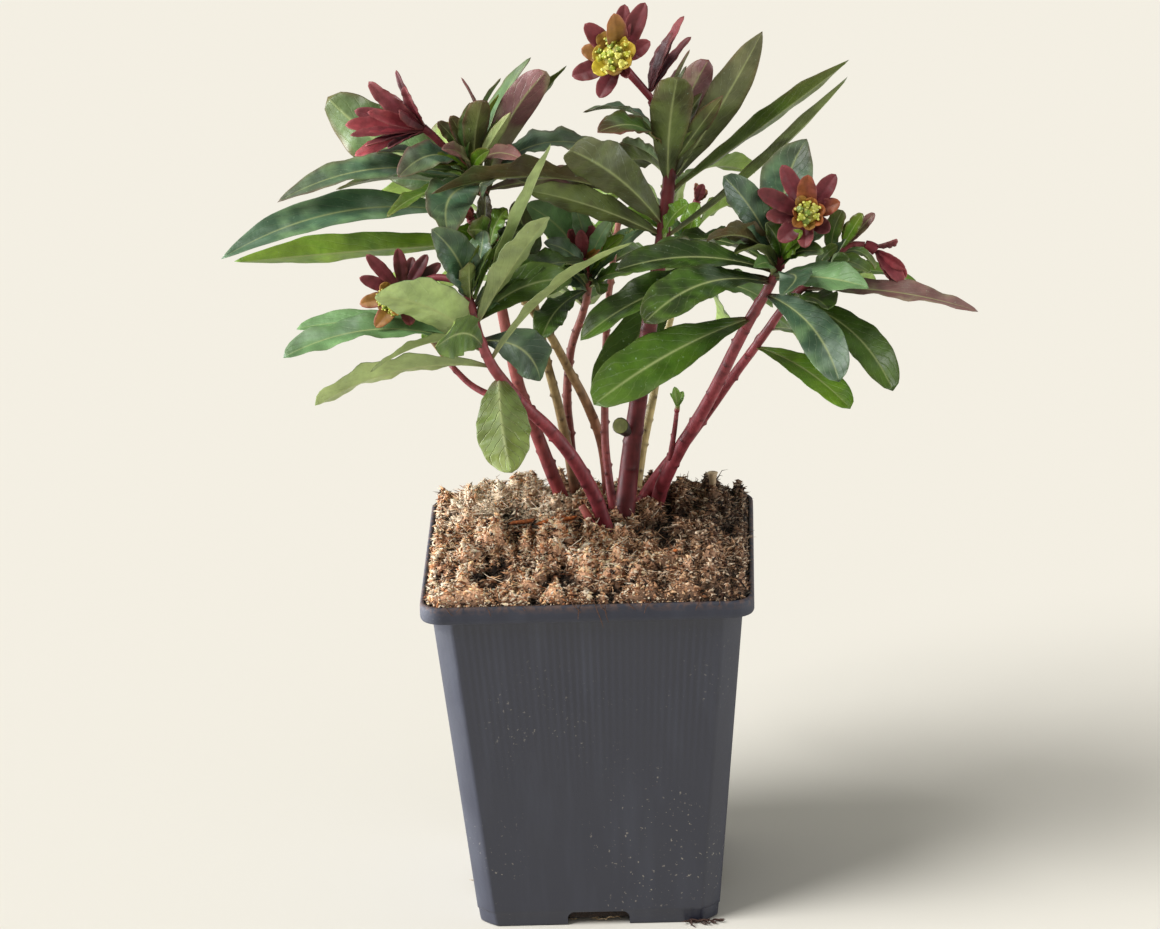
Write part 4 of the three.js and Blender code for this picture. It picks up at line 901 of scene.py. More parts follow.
# ---- leafy tops -------------------------------------------------------------------------------
# Whorls of long, smooth leaves, narrow at the foot and widest towards the tip, each folded
# along a pale midrib and a little wavy at the edge. They grow straight from the stem's skin.
LEAF_COLOURS = {                                # of a leaf's upper face and of its underside
    "blue": (paint(58, 84, 62), paint(118, 138, 100)),
    "teal": (paint(88, 120, 76), paint(118, 146, 96)),
    "slate": (paint(50, 74, 54), paint(96, 114, 84)),
    "dark": (paint(36, 56, 16), paint(80, 98, 38)),
    "green": (paint(66, 93, 29), paint(114, 138, 58)),
    "lawn": (paint(64, 92, 24), paint(98, 124, 42)),
    "bright": (paint(86, 118, 24), paint(112, 142, 42)),
    "pale": (paint(74, 104, 48), paint(156, 172, 112)),
    "sallow": (paint(92, 112, 60), paint(136, 150, 96)),
    "olive": (paint(64, 78, 34), paint(92, 105, 55)),
    "dusky": (paint(70, 76, 42), paint(94, 99, 66)),
    "sage": (paint(80, 94, 42), paint(90, 101, 42)),
    "meadow": (paint(62, 88, 42), paint(80, 108, 62)),
    "purple": (paint(116, 84, 79), paint(110, 76, 76)),
    "brown": (paint(68, 60, 34), paint(74, 64, 38)),
}
# Leaves are painted paler the further left they stand: painted light from the left.
PAINTED_LIGHT_FROM_LEFT = 0.0028                             # how much paler for each mm to the left
# The first colour is the leaves' pale waxen bloom, partly painted sheen; the second that of pale
# flecks.
WAX_BLOOM_AND_SHEEN, FLECK = paint(156, 176, 158), paint(168, 190, 160)
WAX_BLOOM_AND_SHEEN_SHARES = {"blue": 1.2, "teal": 1.0, "dark": 0.4, "bright": 0.1, "brown": 0.2,
              "meadow": 0, "purple": 0.2, "lawn": 0.3}
# Colour of the patches on a leaf, how far they spread, and how much more so towards its foot.
PATCHED = {"purple": (paint(142, 142, 108), 0.0, 0.9), "brown": (paint(52, 66, 32), 0, 0),
           "sage": (paint(98, 114, 60), 0, 0), "dark": (paint(66, 96, 28), 0, 0),
           "bright": (paint(70, 104, 26), 0, 0), "green": (paint(88, 114, 42), 0, 0),
           "lawn": (paint(46, 72, 18), 0.1, 0), "blue": (paint(96, 124, 84), -0.1, 0),
           "dusky": (paint(88, 100, 52), 0.0, 0.9), "slate": (paint(84, 112, 78), -0.1, 0),
           "olive": (paint(58, 60, 36), 0, 0)}
MIDRIB_COLOUR = paint(176, 186, 126)
YOUNG_RED = paint(116, 58, 56)
LEAF_STEPS, SMALL_STEPS = (34, 28), (16, 16)    # steps along a blade and round it
WIDE_LEAF = 9.5                                 # wider leaves wave twice along their length
SEAT_REACH = 0.3                                # how near a tip is to a corner of its solid
TOP_NUBS, TOP_SEED = 9, 140

# How far the solid's tips may be swung along their sight lines, in the order they are tried.
SWINGS = (0, 3, -3, 6, -6, 9, -9, 12, -12, 16, -16, 20, -20, 25, -25)

# How far out a leaf is widest and how blunt its tip is: powers of the outline.
SHAPES = {"plain": (1.55, 0.62), "spoon": (1.9, 0.48), "lance": (1.3, 0.85), "oval": (1.12, 0.6),
          "round": (1.3, 0.42), "petal": (1.36, 0.5)}

# Each leaf: height of its foot on the stem's route, its tip's across, up and deep, its width,
# how far its midrib bows upward, how its upper face is turned (0 towards the front, 90 up, 180
# away), its colour and its shape.
LEAVES = {
    "front_left": [
        [158, -55.5, 172.3, -47, 14, 2.5, 142, "pale", "oval"],
        [158, -77.5, 163.3, -20, 8.5, 2.5, 52, "teal", "spoon"],
        [156, -81.5, 155.2, -34, 10, 5.5, 50, "teal", "spoon"],
        [151.5, -73.5, 141.3, -32, 9, 3.5, 122, "sallow", "spoon"],
        [160, -58, 150.5, -50, 4.5, 2, 110, "sallow", "lance"],
        [148.5, -20.5, 120.5, -36, 14, -1, 175, "sage", "oval"],
        [159, -11.8, 146.7, -10, 12, 4, 14, "slate", "lance"],
        [153, 14.5, 185.5, -44, 8, 2.5, 104, "sallow", "lance"],
        [163, -8, 193.5, -40, 11, 0, 128, "sallow", "plain"],
        [165, -6.5, 214, -38, 8.5, -1.5, 112, "sallow", "lance"],
        [164, -2, 175.5, -18, 10.5, 3, 28, "green", "plain"],
        [168, 2, 180, -4, 11, 3, 60, "dark", "plain"],
        [171, -39.7, 190.7, -24, 10.5, 2, 22, "blue", "oval"],
        [171, -25.5, 190, -20, 8, -1, 40, "blue", "plain"],
        [170, -30, 181, -36, 5.5, 0, 150, "olive", "lance"],
        [170, -27, 186, -30, 5, 0, 110, "dark", "lance"],
        [157, -40, 157, -70, 11, 4, -20, "green", "plain"],
        [162, -52, 176, 4, 11, 4, 90, "green", "plain"],
        [170, -29, 184, -30, 4, 0, 40, "dark", "lance"],
        [171, -23.5, 185, -30, 3.5, 0, 70, "green", "lance"],
        [168, -34.5, 182, -26, 4, 1, 50, "olive", "plain"],
        [169, -20, 189, -27, 3.5, 0, 100, "dark", "lance"],
        [164, -17, 172, -20, 6, 2, 40, "teal", "plain"],
    ],
    "right_front": [
        [174, -0.5, 158, -36, 13, 5, 50, "dark", "plain"],
        [173, 17, 162.5, -50, 12.5, 4.5, 34, "dark", "spoon"],
        [163, 2.5, 139.5, -54, 15, 1.5, 24, "lawn", "spoon"],
        [176, 9.5, 177.5, -30, 11, 3, 46, "dark", "plain"],
        [177, 20, 183.5, -10, 11, 4, 70, "dark", "plain"],
        [178, 34.5, 185.5, -34, 8.5, 4, 130, "brown", "plain"],
        [177.5, 39.5, 203.5, -36, 9, 1.5, 20, "slate", "spoon"],
        [178, 46.5, 196.5, -20, 8, 1, 20, "bright", "spoon"],
        [181, 62.2, 213.3, -4, 13.5, 3, 10, "slate", "lance"],
        [175, 54.3, 169.3, -48, 8.5, 5, 20, "blue", "oval"],
        [174, 78, 170.8, -38, 10, 1, 46, "teal", "lance"],
        [170, 69.5, 144.3, -52, 11, 3.5, 14, "blue", "spoon"],
        [180, 64, 187, -34, 5, 0.5, 30, "teal", "plain"],
        [179, 60, 184.5, -30, 5, 0.5, 40, "bright", "plain"],
        [182, 47, 186, 14, 11, 4, 110, "green", "plain"],
        [178, 66, 196, 18, 12, 4, 110, "green", "plain"],
        [179, 60.5, 187.5, -28, 3.5, 1, 30, "bright", "spoon"],
        [178, 67, 187.5, -22, 4, 1, 30, "teal", "spoon"],
        [177, 66, 181, -28, 5.5, 2, 55, "dark", "plain"],
        [179, 50.5, 190, -26, 6, 1, 30, "dark", "plain"],
        [177, 42, 181.5, -30, 6.5, 3, 100, "olive", "plain"],
        [175, 47, 177.5, -34, 5, 2, 60, "pale", "lance"],
    ],
    "centre": [
        [194, -39.5, 200.5, -24, 12.5, 5.5, 112, "brown", "plain"],
        [190, -1.5, 212, -26, 13, 2, 165, "dusky", "spoon"],
        [187, -13, 201, -12, 8.5, 1, 150, "olive", "plain"],
        [200, 28, 231.5, -14, 11, 1, 178, "olive", "spoon"],
        [201, 51, 243.5, -2, 9.8, -1, 170, "dusky", "lance"],
        [204, 36.5, 236, 12, 9, 2, 176, "purple", "spoon"],
        [207, 31.5, 239, 16, 4, 2, 104, "dark", "lance"],
        [199, 74, 235, 2, 8.5, -1.5, 126, "dark", "lance"],
        [186, 73.5, 230.3, -12, 7.5, -4, 114, "olive", "lance"],
        [203, 47.5, 228.5, 22, 5.5, 1, 150, "purple", "lance"],
        [205, 43, 223, 26, 6, 0, 150, "pale", "plain"],
        [211, 2.3, 222.3, 4, 6, 5, 80, "blue", "lance"],
        [209, 6, 216.5, -14, 8.5, 4.5, 60, "dark", "plain"],
        [206, 12.5, 214, 8, 6.5, 1, 100, "blue", "plain"],
        [204, 9, 205, 18, 11, 4, 120, "olive", "plain"],
        [210, 33, 213, 32, 10, 4, 110, "green", "plain"],
        [196, 48, 204, 34, 11, 5, 100, "green", "plain"],
        [190, 8, 199, 36, 11, 5, 110, "green", "plain"],
        [185, 30, 196, -14, 6, 1, 60, "bright", "spoon"],
        [212, 30.5, 234.5, 6, 3.5, 1, 60, "blue", "lance"],
        [212, 27.6, 233.6, 4, 3, 1, 60, "purple", "lance"],
        [207, 34.5, 227, 2, 5, 1, 150, "dark", "lance"],
        [206, 40, 226, -3, 5, 0, 165, "olive", "lance"],
        [203, 33, 217, 0, 5, 1, 120, "green", "lance"],
        [201, 37, 214, 4, 6, 1, 80, "dark", "lance"],
        [209, 11, 219.8, -8, 5, 2, 60, "green", "plain"],
        [188, 13, 195, 8, 6, 1, 50, "bright", "plain"],
        [187, 19, 191.5, 6, 4, 1, 60, "teal", "plain"],
        [186, 12.5, 188, 8, 5, 2, 60, "pale", "plain"],
    ],
    "upper_left": [
        [203, -66, 228.5, 24, 16.5, -4, 166, "meadow", "round"],
        [204, -81, 199.3, -6, 10, 5, 48, "blue", "lance"],
        [200, -65, 202.5, 9, 8.5, 3, 80, "dark", "lance"],
        [193, -97, 183.7, -14, 12, 6.5, 42, "blue", "lance"],
        [187, -93.5, 183, 3, 11, -1, 128, "bright", "lance"],
        [201, -51.5, 194.3, -12, 5.5, 3, 60, "green", "plain"],
        [206, -48, 205.5, -16, 8.5, 5, 40, "blue", "plain"],
        [206, -54, 212.5, -4, 6, 2, 75, "blue", "lance"],
        [206, -30, 233, 1, 2.6, 3, 90, "purple", "lance"],
        [205, -24.5, 226.5, -5, 7, 1, 172, "olive", "spoon"],
        [206, -19.3, 232.5, 4, 4.5, 2, 105, "teal", "lance"],
        [205, -20, 228, -1, 5, 1, 115, "bright", "lance"],
        [204, -11, 238, 12, 6.5, 2, 60, "teal", "lance"],
        [200, -7, 234, -8, 9, 3, 178, "purple", "spoon"],
        [199, -1.5, 235.5, 2, 6.5, 1.5, 120, "dark", "lance"],
        [203, 6.5, 212, 8, 9.5, 5, 60, "blue", "plain"],
        [201, 6, 204, 2, 6, 1, 150, "purple", "plain"],
        [203, -35, 188, -38, 12.5, 5, 12, "blue", "oval"],
        [196, -27.5, 183, -14, 8.5, 1, 10, "green", "plain"],
        [206, -40, 214, 40, 11, 4, 110, "green", "plain"],
        [200, -14, 204, 48, 12, 5, 110, "green", "plain"],
        [194, -55, 196, 36, 11, 5, 110, "green", "plain"],
        [207, -33.4, 222.3, 2, 4.5, 1, 20, "olive", "spoon"],
        [207, -36.8, 220.8, 4, 4, 1, 20, "dark", "spoon"],
        [207, -27.8, 226, 0, 4, 1, 30, "pale", "lance"],
        [206, -17, 223, -6, 3.5, 0, 170, "pale", "lance"],
        [206, -12.5, 226, -2, 4.5, 1, 150, "green", "lance"],
        [206, -36, 213, -8, 5, 2, 60, "purple", "plain"],
        [206, -14.5, 209.5, -12, 5.5, 3, 60, "purple", "plain"],
        [206, -23, 212.5, -8, 4, 1, 30, "bright", "plain"],
        [205, -40, 209, -8, 5.5, 2, 60, "bright", "plain"],
        [202, -26, 203, -26, 6, 1, 20, "blue", "oval"],
        [202, -44, 207, -10, 5.5, 2, 70, "green", "lance"],
    ],
    "right_back": [
        [171, 107.5, 163.3, -24, 8.5, 1.2, 60, "purple", "lance"],
        [167, 67, 165, -36, 11, 2, 80, "dark", "plain"],
        [172, 91.5, 171.5, 2, 8.5, 3, 70, "bright", "plain"],
        [173, 78.5, 175, -18, 6.5, 4, 70, "green", "plain"],
        [168, 84, 141.3, -42, 10, 4, 30, "lawn", "spoon"],
        [155, 72.3, 136.5, -34, 8.8, 1.5, 36, "bright", "spoon"],
        [173, 72, 185, -20, 5, -1, 70, "blue", "lance"],
        [165, 80, 170, 38, 11, 5, 100, "green", "plain"],
        [160, 62, 150, 32, 12, 3, 100, "green", "plain"],
        [173, 73, 179, -16, 5, 2, 50, "pale", "plain"],
        [174, 70, 183, -18, 4, 1, 40, "green", "spoon"],
    ],
    "side_right": [
        [179, 71.5, 193, -6, 5.5, 1, 30, "green", "spoon"],
        [181.5, 76.8, 192, -11, 4, 0, 30, "bright", "spoon"],
        [182.5, 80, 192, -9, 3, 0, 20, "purple", "spoon"],
        [178, 80, 176, -6, 5.5, 4, 60, "green", "plain"],
        [182, 74, 190, -9, 3.5, 0, 30, "bright", "spoon"],
    ],
    "mid": [
        [172.5, -11, 158.8, 10, 8.5, 2, 32, "dark", "spoon"],
        [176, 5, 171, 4, 5, 1, 60, "dark", "plain"],
        [174, -14, 197, -2, 11.5, 3, 26, "teal", "oval"],
        [172, -13.5, 179.5, 0, 9.5, 2, 30, "blue", "plain"],
        [175, -4.5, 195, 12, 8.5, 2, 40, "bright", "plain"],
        [174, 19.8, 190.5, 8, 7.5, 1, 60, "teal", "plain"],
        [173, 14.5, 177, 0, 6.5, 1, 60, "green", "plain"],
        [170, 13, 196, 22, 8.5, 2, 60, "bright", "plain"],
        [168, -24, 170, 52, 11, 4, 100, "green", "plain"],
        [168, 2, 168, 62, 12, 4, 90, "green", "plain"],
        [176, 9.5, 192.5, 4, 4.5, 1, 30, "teal", "plain"],
        [176, 12.5, 187.5, 4, 4.5, 1, 40, "bright", "plain"],
        [176, -2, 199, 8, 6, 1, 30, "teal", "lance"],
        [175, -9.5, 186, -6, 6, 2, 40, "blue", "plain"],
        [174, -8.5, 177.5, -8, 5.5, 2, 60, "dark", "plain"],
    ],
    "mid_left": [
        [174, -17, 198, 18, 9, 1, 20, "brown", "plain"],
        [172, -33, 178, 30, 11, 4, 60, "green", "plain"],
        [170, -40, 172, 44, 11, 4, 90, "green", "plain"],
        [176, -22, 176, -6, 7, 2, 30, "bright", "plain"],
        [168, -10, 178, 46, 10, 3, 110, "green", "plain"],
        [176, -25.5, 188, 2, 5, 1, 30, "green", "plain"],
        [174, -14, 187, 8, 4, 0, 40, "dark", "lance"],
    ],
    "inner_left": [
        [186, -30, 190, -22, 8, 2, 30, "green", "plain"],
        [184, -19, 196, 2, 7, 1, 40, "bright", "plain"],
        [180, -14, 190, -16, 7.5, 2, 60, "dark", "plain"],
        [178, -34, 181, -16, 7.5, 2, 40, "green", "plain"],
        [186, -24.5, 200.5, -6, 4.5, 0, 30, "brown", "spoon"],
        [184, -33, 190.5, -16, 5, 1, 20, "bright", "plain"],
    ],
    "back_right": [
        [178, 4.5, 139.5, 0, 14, 0, 18, "lawn", "spoon"],
        [182, 33, 196, 26, 6.5, 0, 40, "bright", "spoon"],
        [184, 50, 196, 52, 11, 4, 110, "green", "plain"],
        [180, 56, 180, 58, 12, 4, 90, "green", "plain"],
        [186, 30, 204, 64, 11, 3, 110, "green", "plain"],
        [176, 36, 160, 70, 12, 4, 80, "green", "plain"],
        [170, 52, 166, 40, 11, 4, 60, "green", "plain"],
        [183, 14, 192, 58, 10, 3, 110, "green", "plain"],
        [184, 25, 191, 28, 4.5, 0, 40, "teal", "plain"],
    ],
    "back": [
        [184, -8, 186, 66, 12, 4, 110, "green", "plain"],
        [180, 24, 176, 76, 12, 4, 90, "green", "plain"],
        [176, -6, 168, 78, 11, 4, 80, "green", "plain"],
        [186, 14, 204, 70, 11, 3, 110, "green", "plain"],
        [186, 0, 200, 56, 9.5, 3, 110, "green", "plain"],
    ],
}


def outline(t, outward, point):
    """Half width of a blade as a share of its half width at the widest: sin(pi t^outward) to the
    power point, sharper at the tip the higher that is, and a tenth of stalk at the foot that
    runs out towards the tip."""
    return np.clip(np.sin(np.pi * t ** outward), 0, 1) ** point + 0.1 * (1 - t)


def blade_tint(rings, t, v, on_top, upper, under, seed, red=0.0, wax=0.0, streak=1.0,
               patch=None, patch_spread=(0.0, 0.0), edge=YOUNG_RED):
    """Colours of a blade's rings at t along it and v across it: those of its two faces, blotched
    by noise and with painted shade towards the foot, with patches, and over them by their shares
    a waxen bloom that is partly painted sheen, a reddened edge and tip, the pale streak of the
    midrib and a red stalk."""
    blotch, fine = noise(rings, 7.0, seed + 1), noise(rings, 2.2, seed + 2)
    colour = np.where(on_top[..., None], upper, under) * np.ones((len(t), 1, 1))
    if patch is not None:
        patchy = (patch_spread[0] + patch_spread[1] * (0.5 - t) + 0.9 * noise(rings, 6.0, seed + 5)
                  + 0.6 * noise(rings, 3.3, seed + 6) + 0.5 * fine + 0.5 * np.abs(v) ** 3)
        colour = toward(colour, patch, np.clip(patchy, 0, 0.8)[..., None])
    # The last factor is painted shade towards the leaf's foot, deep inside the whorl.
    light = (1 + 0.3 * blotch + 0.16 * fine) * (1 - 0.5 * (1 - t) ** 3)
    # The waxen bloom is partly painted sheen, stronger on the upper face that the light falls on.
    waxy = 0.5 * noise(rings, 9.0, seed + 3) + 0.35 * noise(rings, 3.0, seed + 4) - 0.1
    waxy = np.clip(waxy, 0, 0.4) * np.where(on_top, 1.0, 0.4) * wax
    at_edge, at_tip = np.clip((np.abs(v) - 0.72) / 0.28, 0, 1), np.clip((t - 0.55) / 0.45, 0, 1)
    reddened = np.clip(red * (0.7 * at_edge + 0.6 * at_tip) * (0.7 + 0.5 * blotch), 0, 0.85)
    rib = np.exp(-(v / (0.05 + 0.09 * (1 - t) ** 2)) ** 2) * (0.75 - 0.5 * t)
    rib = rib * np.where(on_top, 0.6, 0.9) * streak
    stalk = 0.5 * np.clip(1 - t / 0.1, 0, 1)
    colour = colour * light[..., None]
    for layer, share in ((WAX_BLOOM_AND_SHEEN, waxy), (edge, reddened), (MIDRIB_COLOUR, rib), (YOUNG_RED, stalk)):
        colour = toward(colour, layer, share[..., None])
    return np.clip(colour, 0, 1)


def blade(foot, tip, width, bow, face, upper, under, seed, thick=0.26, rib=0.45, wavy=1.0,
          veins=1.0, cup=0.33, shape="plain", facing=None, steps=LEAF_STEPS, **looks):
    """Leaf from foot to tip. Its midrib is a parabola through foot, bend and tip; across it, v
    runs from -1 to 1 and the halves fold up by cup times the half width. The skin goes round
    each section once: upper face from edge to edge, then the underside with its raised rib. It
    waves along its edges, twists to and fro, and has a groove and fine side veins on top."""
    stations, around = steps
    reach = np.linalg.norm(tip - foot)
    along = (tip - foot) / reach
    middle = (foot + tip) / 2
    front = EYE - middle
    front = unit(front - along * (along @ front))
    rise = np.cross(along, front)
    rise = -rise if rise[2] < 0 else rise
    if facing is None:
        facing = swung(front, rise, np.radians(face))
    bend = middle + 2 * bow * rise + 0.05 * reach * facing
    t = (np.linspace(0, 1, stations + 1)[:-1] ** 0.96)[:, None]
    spine = foot * (1 - t) ** 2 + bend * 2 * t * (1 - t) + tip * t ** 2
    tangent = unit(toward(bend - foot, tip - bend, t))
    across = unit(np.cross(facing, tangent))
    up = np.cross(tangent, across)
    angle = circle(around)[None]
    v = np.sign(np.cos(angle)) * np.abs(np.cos(angle)) ** 1.5
    side = np.sign(np.round(np.sin(angle), 9))  # 1 above, -1 below, 0 at the edges
    rng = np.random.default_rng(seed)
    beat, lag, lag_right = rng.uniform(3.0, 4.6), *rng.uniform(0, 2 * np.pi, 2)
    half = width / 2 * outline(t, *SHAPES[shape])
    fold = cup * half * (np.sqrt(v ** 2 + 0.015) - 0.122)
    twist = 0.05 * width * np.sin(np.pi * t / (0.46 if width > WIDE_LEAF else 0.8)) ** 2 * v
    phase = 2 * np.pi * beat * t + np.where(v > 0, lag, lag_right)
    waves = np.sin(phase) + 0.4 * np.sin(2.3 * phase + lag)
    ripple = wavy * 0.12 * half * np.abs(v) ** 1.6 * waves
    body = thick * np.sqrt(np.clip(1 - v ** 2, 0, 1)) * side
    keel = rib * (1 - 0.75 * t) * np.exp(-(v / 0.13) ** 2) * (half > 0.3)
    groove = 0.12 * np.exp(-(v / 0.1) ** 2)
    side_veins = np.cos(2 * np.pi * (13 * t - 3.2 * np.abs(v))) * np.abs(v) * (1 - v ** 2)
    lines = groove + 0.02 * min(veins, 2) * side_veins
    lift = fold + twist + ripple + body - keel * (side < 0) - lines * (side > 0)
    scallop = 1 + 0.02 * wavy * np.sin(1.3 * phase + 1) * np.abs(v)
    rings = (spine[:, None] + across[:, None] * (half * v * scallop)[..., None]
             + up[:, None] * lift[..., None])
    return closed_skin(foot, rings, tip,
                       tint=blade_tint(rings, t, v, side >= 0, upper, under, seed, **looks),
                       grain=np.stack(np.broadcast_arrays(t, v, float(veins)), -1))


leaf_look = Finish("leaf_skin")
grain = leaf_look.put("ShaderNodeAttribute", {}, "Vector", attribute_name="grain")
grain_parts = leaf_look.put("ShaderNodeSeparateXYZ", {"Vector": grain}).node
along_leaf, across_leaf, vein_share = grain_parts.outputs
# Side veins: thin lines where 9 t - 2.6 |v|, shifted by noise, passes a whole number. The midrib
# is where |v| is nearly nought. Stems have neither, nor pale flecks.
out_share = leaf_look.maths("ABSOLUTE", across_leaf)
slant = leaf_look.maths("SUBTRACT", leaf_look.times(along_leaf, 9.0),
                        leaf_look.times(out_share, 2.6))
slant = leaf_look.maths("ADD", slant, leaf_look.times(leaf_look.noise(120, 3), 1.8))
saw = leaf_look.maths("SUBTRACT", leaf_look.maths("FRACT", slant), 0.5)
vein_line = leaf_look.step(leaf_look.maths("ABSOLUTE", saw), 0.41, 0.49)
vein_line = leaf_look.times(vein_line, vein_share)
on_leaf = leaf_look.step(vein_share, 0.1, 0.5)
midrib = leaf_look.times(leaf_look.step(out_share, 0.015, 0.06, 1, 0),
                         leaf_look.step(along_leaf, 0.1, 0.95, 0.75, 0.2))
flecks = leaf_look.step(leaf_look.noise(1100, 2), 0.69, 0.76, 0, 0.4)
leaf_colour = leaf_look.tinted(leaf_look.cloud(300, 5, 0.82, 1.17))
leaf_colour = leaf_look.mix(leaf_look.times(vein_line, 0.06), leaf_colour, MIDRIB_COLOUR)
leaf_colour = leaf_look.mix(leaf_look.times(midrib, on_leaf), leaf_colour, MIDRIB_COLOUR)
leaf_colour = leaf_look.mix(leaf_look.times(flecks, on_leaf), leaf_colour, FLECK)
leaf_height = leaf_look.maths("ADD", leaf_look.noise(520, 3),
                              leaf_look.times(leaf_look.noise(170, 2), 2.0))
leaf_height = leaf_look.maths("SUBTRACT", leaf_height, leaf_look.times(vein_line, 0.35))
leaf_material = leaf_look.finish({
    "Base Color": leaf_colour, "Specular IOR Level": 0.36,
    "Roughness": leaf_look.cloud(190, 3, 0.34, 0.5),
    "Normal": leaf_look.bump(leaf_height, 0.00022, 0.7)})


def seated(node, across, up, deep):
    """Tip of a leaf as the CAD solid has it: of the swung tips, the one with a corner of the
    solid nearest to it. A small leaf that the solid does without keeps its own tip."""
    corners = np.array([vertex.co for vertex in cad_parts[node].data.vertices]) / MM
    tips = at([[across, up, deep + swing] for swing in SWINGS])
    apart = np.linalg.norm(tips[:, None] - corners, axis=-1).min(1)
    return tips[np.argmin(apart)] if apart.min() < SEAT_REACH else tips[0]


# Height above which the leaves of each top are young, and redder the higher they are.
YOUNG_FROM = {"centre": 196, "upper_left": 196, "front_left": 168, "right_front": 176,
              "right_back": 170, "side_right": 170, "mid": 172, "mid_left": 172,
              "inner_left": 178, "back_right": 182, "back": 182}
for order, owner in enumerate(main_stems):
    skins = []
    for name in [owner] + [name for name in STEMS if STEMS[name].get("branch_of") == owner]:
        route, radius = STEMS[name]["route"], STEMS[name]["radius"]
        low = 0.0
        if name == owner:
            low = share_at(route, STEMS[name]["leafy_from"]) - 3 * HOLD / route_length(route)
        shares = np.linspace(low, 1, 40)
        skins.append(limb(at(along_route(route, shares)), toward(*radius, shares),
                          blend(*STEMS[name]["looks"], shares ** 0.8), TOP_SEED + 5 * order,
                          spiral(TOP_NUBS, 0.05, 0.95, order)))
        for number, (height, *place, width, bow, face, look, shape) in enumerate(LEAVES[name]):
            share = share_at(route, height)
            middle = at(along_route(route, np.array([share])))[0]
            tip = seated(f"shoot_{owner}", *place)
            foot = middle + unit(tip - middle) * 0.5 * toward(*radius, share)
            seed = 1000 * order + 17 * number + len(name)
            # the leaf's own tone, times painted light on the leaves to the left
            tone_and_left_light = (1.05 + 0.42 * (0.618 * seed % 1)) * (1 + PAINTED_LIGHT_FROM_LEFT * max(-place[0], 0))
            upper, under = (tone_and_left_light * colour for colour in LEAF_COLOURS[look])
            patch, *patch_spread = PATCHED.get(look, (None, 0, 0))
            skins.append(blade(
                foot, tip, width, bow, face, upper, under, seed, wavy=0.4 + 0.13 * (seed % 9),
                veins=9.0 if look == "sage" else 1.0, shape=shape, wax=WAX_BLOOM_AND_SHEEN_SHARES.get(look, 0.5),
                red=0.12 + 0.8 * np.clip((height - YOUNG_FROM[name]) / 12, 0, 1),
                patch=patch if patch is None else tone_and_left_light * patch, patch_spread=patch_spread))
    dress(f"leaves_{owner}", mesh_of(f"leaves_{owner}", skins), leaf_material,
          "leaf_green", f"shoot_{owner}")

# ---- flower heads -----------------------------------------------------------------------------
# Each head is a short neck with a ruff of spoon-shaped maroon bracts. Three are open: inside the
# ruff stand short ochre cups, and in their middle a cluster of yellow-green florets.
MAROON, MAROON_BACK = paint(108, 42, 50), paint(124, 58, 64)
DEEP_MAROON, DEEP_BACK = paint(68, 24, 32), paint(84, 34, 42)
OCHRE, OCHRE_BACK = paint(140, 100, 38), paint(132, 84, 42)
RUST, RUST_BACK = paint(142, 76, 34), paint(136, 66, 40)
RED_BUD, RED_BACK = paint(142, 54, 62), paint(162, 84, 86)
BRACT_LOOKS = {"maroon": (MAROON, MAROON_BACK), "deep": (DEEP_MAROON, DEEP_BACK),
               "ochre": (OCHRE, OCHRE_BACK), "rust": (RUST, RUST_BACK),
               "red": (RED_BUD, RED_BACK)}
BRACT_PATCH = {"maroon": paint(76, 28, 30), "ochre": MAROON, "rust": MAROON,
               "red": paint(98, 32, 40), "deep": paint(104, 40, 50)}
# The bracts' pale rim is partly their own pink edge and partly painted highlight along it.
BRACT_RIM_AND_HIGHLIGHT, BRACT_RIM_AND_HIGHLIGHT_SHARE = paint(178, 104, 98), 0.42   # colour of the rim, how strongly it shows
BRACT_WIDTH = 0.8                               # as a share of the width in the table
HEART_HEIGHT = 0.9
NECK_SIDES = 14
EYE_BACK = 1.6                                  # depth of the eye's back
CUPS = 7
FLORET_COLOURS = [paint(206, 204, 62), paint(172, 184, 50), paint(222, 214, 96),
                  paint(140, 158, 48)]
GLAND_COLOUR, FLORET_GREEN = paint(222, 216, 110), paint(98, 120, 42)
BUN_BROWN, BUN_OLIVE = paint(150, 96, 44), paint(168, 160, 56)
FLORET_RINGS = ((1, 0.0), (5, 0.42), (9, 0.82))  # how many, how far out as a share of the eye
FEW_RINGS = ((1, 0.0), (6, 0.6))
NECK_SEED, BRACT_SEED, TUFT_SEED, CUP_SEED = 300, 400, 500, 600
BUN_SEED, FLORET_SEED, GLAND_SEED, EYE_SEED = 700, 710, 760, 900

